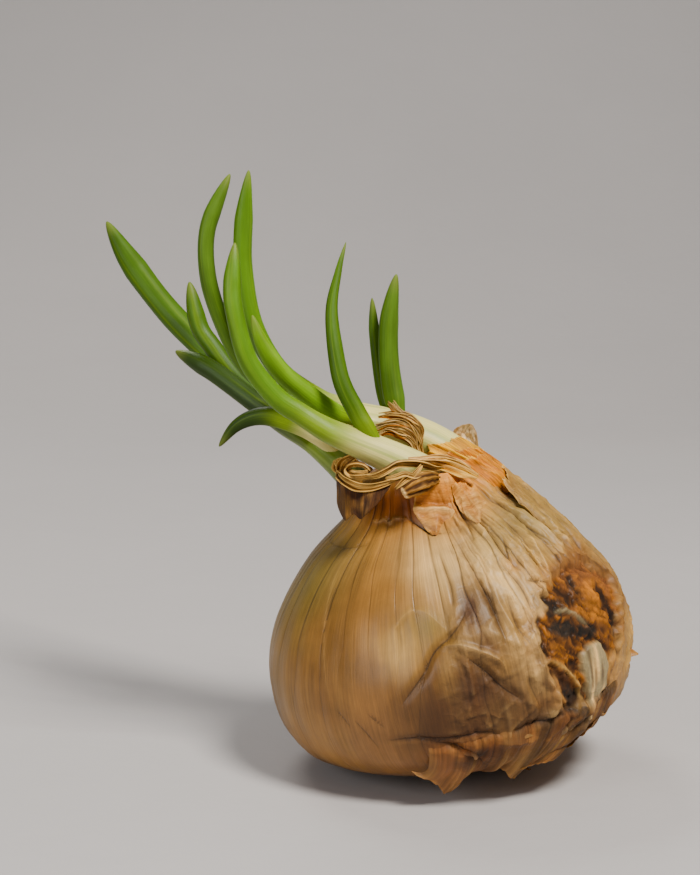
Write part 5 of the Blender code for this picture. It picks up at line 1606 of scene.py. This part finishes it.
def make_tuft():
    """Frayed strands that rise from the neck between the shoots and bend to the left."""
    draw = np.random.default_rng(TUFT_SEED)
    bodies = []
    for i, blade in enumerate(TUFT_BLADES):
        for strand in range(STRANDS):
            shift = 0.55 * (draw.random((len(blade) + 1, 3)) - 0.5) * (0.6, 1.6, 1.0)
            shift[1:] += np.array((0.3, 0.0, 1.5)) * ((strand + 0.5) / STRANDS - 0.5)
            path = np.array((TUFT_FOOT, *blade)) + shift
            broad = 0.5 + 0.45 * draw.random()
            halves = (0.35, 0.7 * broad, broad, broad, 0.8 * broad, 0.1)
            twists = 70.0 + 70.0 * (draw.random(len(halves)) - 0.5)
            tones = STRAND_TONES[0] if strand == 0 else STRAND_TONES[1 + strand % 2]
            seed = 120 + 20 * i + 5 * strand
            bodies.append(strip_body(path, halves, twists, STRAND_CURL, seed, tones, STRAND_THICKNESS,
                                     STRAND_COLUMNS, STRAND_FRAY))
    return add_piece("neck_tuft", bodies, FINISHES["husk"], "husk", "husk_tuft")


def make_wing():
    """The small thin wing of husk behind the upper shoot."""
    v, u = grid(*WING_GRID)
    place = spline(WING_FOOT, u) * (1.0 - v)[..., None] + spline(WING_TOP, u) * v[..., None]
    place[..., 1] += 0.8 * np.sin(math.pi * v) + 0.4 * noise(at(u * 5.0, v * 4.0, 0.0), 131, 2)
    place[..., 2] -= 0.7 * v * ragged(u, 10, 132)
    veins = ridged(1.5 * noise(at(u * 7.0 + v * 2.0, v * 2.2, 0.0), 133, 2), 5.0)
    paint = mix(plain("film", u), "rust", 0.8 * veins + 0.1 * (1.0 - v))
    paint = mix(paint, "husk_gold", 0.9 * ease(1.2 - 2.2 * u) * ease(1.6 - 1.6 * v))
    rim = np.minimum(np.minimum(u, 1.0 - u), 1.0 - v)
    paint = mix(paint, "rust", 0.6 * (1.0 - ease(rim / 0.07)))
    body = sheet_body(place, WING_THICKNESS, paint=paint, rough=0.0, grain=at(u * 20.0, v * 3.0, 0.0))
    return add_piece("thin_wing", [body], FINISHES["sheath"], "husk", "husk_wing")


def root_plate_body():
    """The rough disc that the roots grow from."""
    rows, columns = ROOT_PLATE_GRID
    turns = ring(columns)
    steps = np.linspace(0.0, 1.0, rows)[:, None]
    lump = 0.25 * noise(around(turns, 2.0, steps * 2), 142, 2)
    size = (3.0 + lump) * np.sqrt(1.0 - (2.0 * steps - 1.0) ** 4 * 0.8)
    middle = ROOT + AXIS * (4.7 + 1.3 * steps)[..., None]
    out = np.cos(turns)[..., None] * SIDE + np.sin(turns)[..., None] * ACROSS
    paint = mix(plain("root", size), "dark", 0.5 + lump)
    rings = middle + out * size[..., None]
    return tube_body(rings, paint=paint, rough=0.0, grain=at(turns * 4.0, steps * 4.0, 0.0))


def root_body(number, draw):
    """One dry root, out to the right and down into the wedge above the floor."""
    bearing = math.radians(100.0 * (number / (ROOTS - 1.0) - 0.5) + 6.0 * draw.random())
    out = np.array((math.cos(bearing), math.sin(bearing), 0.0))
    reach = 9.0 + 8.5 * draw.random()
    start = ROOT + AXIS * 5.4 + out * 2.2
    bend = ROOT + out * (6.0 + 2.0 * draw.random()) + np.array((0.0, 0.0, 4.0 + 0.5 * draw.random()))
    end = ROOT + out * reach + np.array((0.0, 2.0 * draw.random() - 1.0, 3.7 + 1.2 * draw.random()))
    trace = Trace((start, bend, end))
    rows, columns = ROOT_GRID
    along = np.linspace(0.0, trace.length, rows)[:, None]
    turns = ring(columns)
    thick = (0.34 - 0.2 * along / trace.length) * (1.0 + 0.2 * noise(at(along, turns, float(number)), 143))
    rings = trace.rings(along[:, 0], thick, thick, turns)
    paint = mix(plain("root", thick), "straw", 0.3)
    return tube_body(rings, paint=paint, rough=0.0, grain=at(turns * 2.0, along, 0.0))


def make_roots():
    """The root plate and its dry roots."""
    draw = np.random.default_rng(ROOT_SEED)
    bodies = [root_plate_body()] + [root_body(number, draw) for number in range(ROOTS)]
    return add_piece("root_plate_and_roots", bodies, FINISHES["root"], "root", "root_plate")


def soft_light(name, place, target, size, energy, tint):
    """A round soft light that aims at a target."""
    light = bpy.data.lights.new(name, "AREA")
    light.shape = "DISK"
    light.size = size
    light.energy = energy
    light.color = tint
    lamp = bpy.data.objects.new(name, light)
    lamp.location = place
    lamp.rotation_euler = (Vector(target) - Vector(place)).to_track_quat("-Z", "Y").to_euler()
    bpy.context.scene.collection.objects.link(lamp)


def make_stage():
    """A pale floor that sweeps up behind the onion."""
    profile = [(-FLOOR_REACH, 0.0), (FLOOR_BACK, 0.0)]
    for bend in np.linspace(0.1, 1.57, 14):
        profile.append((FLOOR_BACK + FLOOR_RADIUS * math.sin(bend), FLOOR_RADIUS * (1.0 - math.cos(bend))))
    profile.append((FLOOR_BACK + FLOOR_RADIUS, FLOOR_TOP))
    places = [(x, y, z - FLOOR_DROP) for y, z in profile for x in (-FLOOR_REACH, FLOOR_REACH)]
    faces = [(2 * i, 2 * i + 1, 2 * i + 3, 2 * i + 2) for i in range(len(profile) - 1)]
    mesh = bpy.data.meshes.new("floor")
    mesh.from_pydata(places, [], faces)
    mesh.shade_smooth()
    made = Finish("pale_floor")
    place = made.node("TexCoord").outputs["Object"]
    cloud = made.noise(place, 5.0, 4.0)
    tone = made.node("Mix", {"Factor": cloud, 6: FLOOR_DARK, 7: FLOOR_LIGHT}, data_type="RGBA")
    made.put(made.shader.inputs["Base Color"], tone.outputs[2])
    made.put(made.shader.inputs["Roughness"], 0.75)
    made.put(made.shader.inputs["Normal"], made.bump(made.noise(place, 60.0), 0.0004))
    mesh.materials.append(made.made)
    floor = bpy.data.objects.new("floor", mesh)
    bpy.context.scene.collection.objects.link(floor)


def make_view():
    """The photograph's view: from the front, ten degrees down."""
    camera = bpy.data.cameras.new("view")
    camera.lens = LENS
    camera.clip_start = 0.01
    seen = bpy.data.objects.new("view", camera)
    seen.location = EYE
    aim = Vector(AIM) - Vector(EYE)
    seen.rotation_euler = aim.to_track_quat("-Z", "Y").to_euler()
    bpy.context.scene.collection.objects.link(seen)
    bpy.context.scene.camera = seen
    for name, sizes in LIGHTS.items():
        soft_light(name, *sizes)
    world = bpy.data.worlds.new("studio")
    world.use_nodes = True
    world.node_tree.nodes["Background"].inputs["Color"].default_value = SKY
    world.node_tree.nodes["Background"].inputs["Strength"].default_value = SKY_STRENGTH
    bpy.context.scene.world = world


def make_onion():
    """Every visible piece of the onion."""
    make_bulb()
    make_outer_skin()
    make_flap()
    make_scrap()
    for number, name in enumerate(SHOOTS):
        make_shoot(name, SHOOT_SEED + SEED_STEP * number)
    for number, name in enumerate(LEAVES):
        if name not in RUNS_ON.values():
            make_leaf(name, LEAF_SEED + SEED_STEP * number)
    make_collar()
    make_sheath()
    make_tuft()
    make_wing()
    make_roots()


make_onion()
make_stage()
make_view()
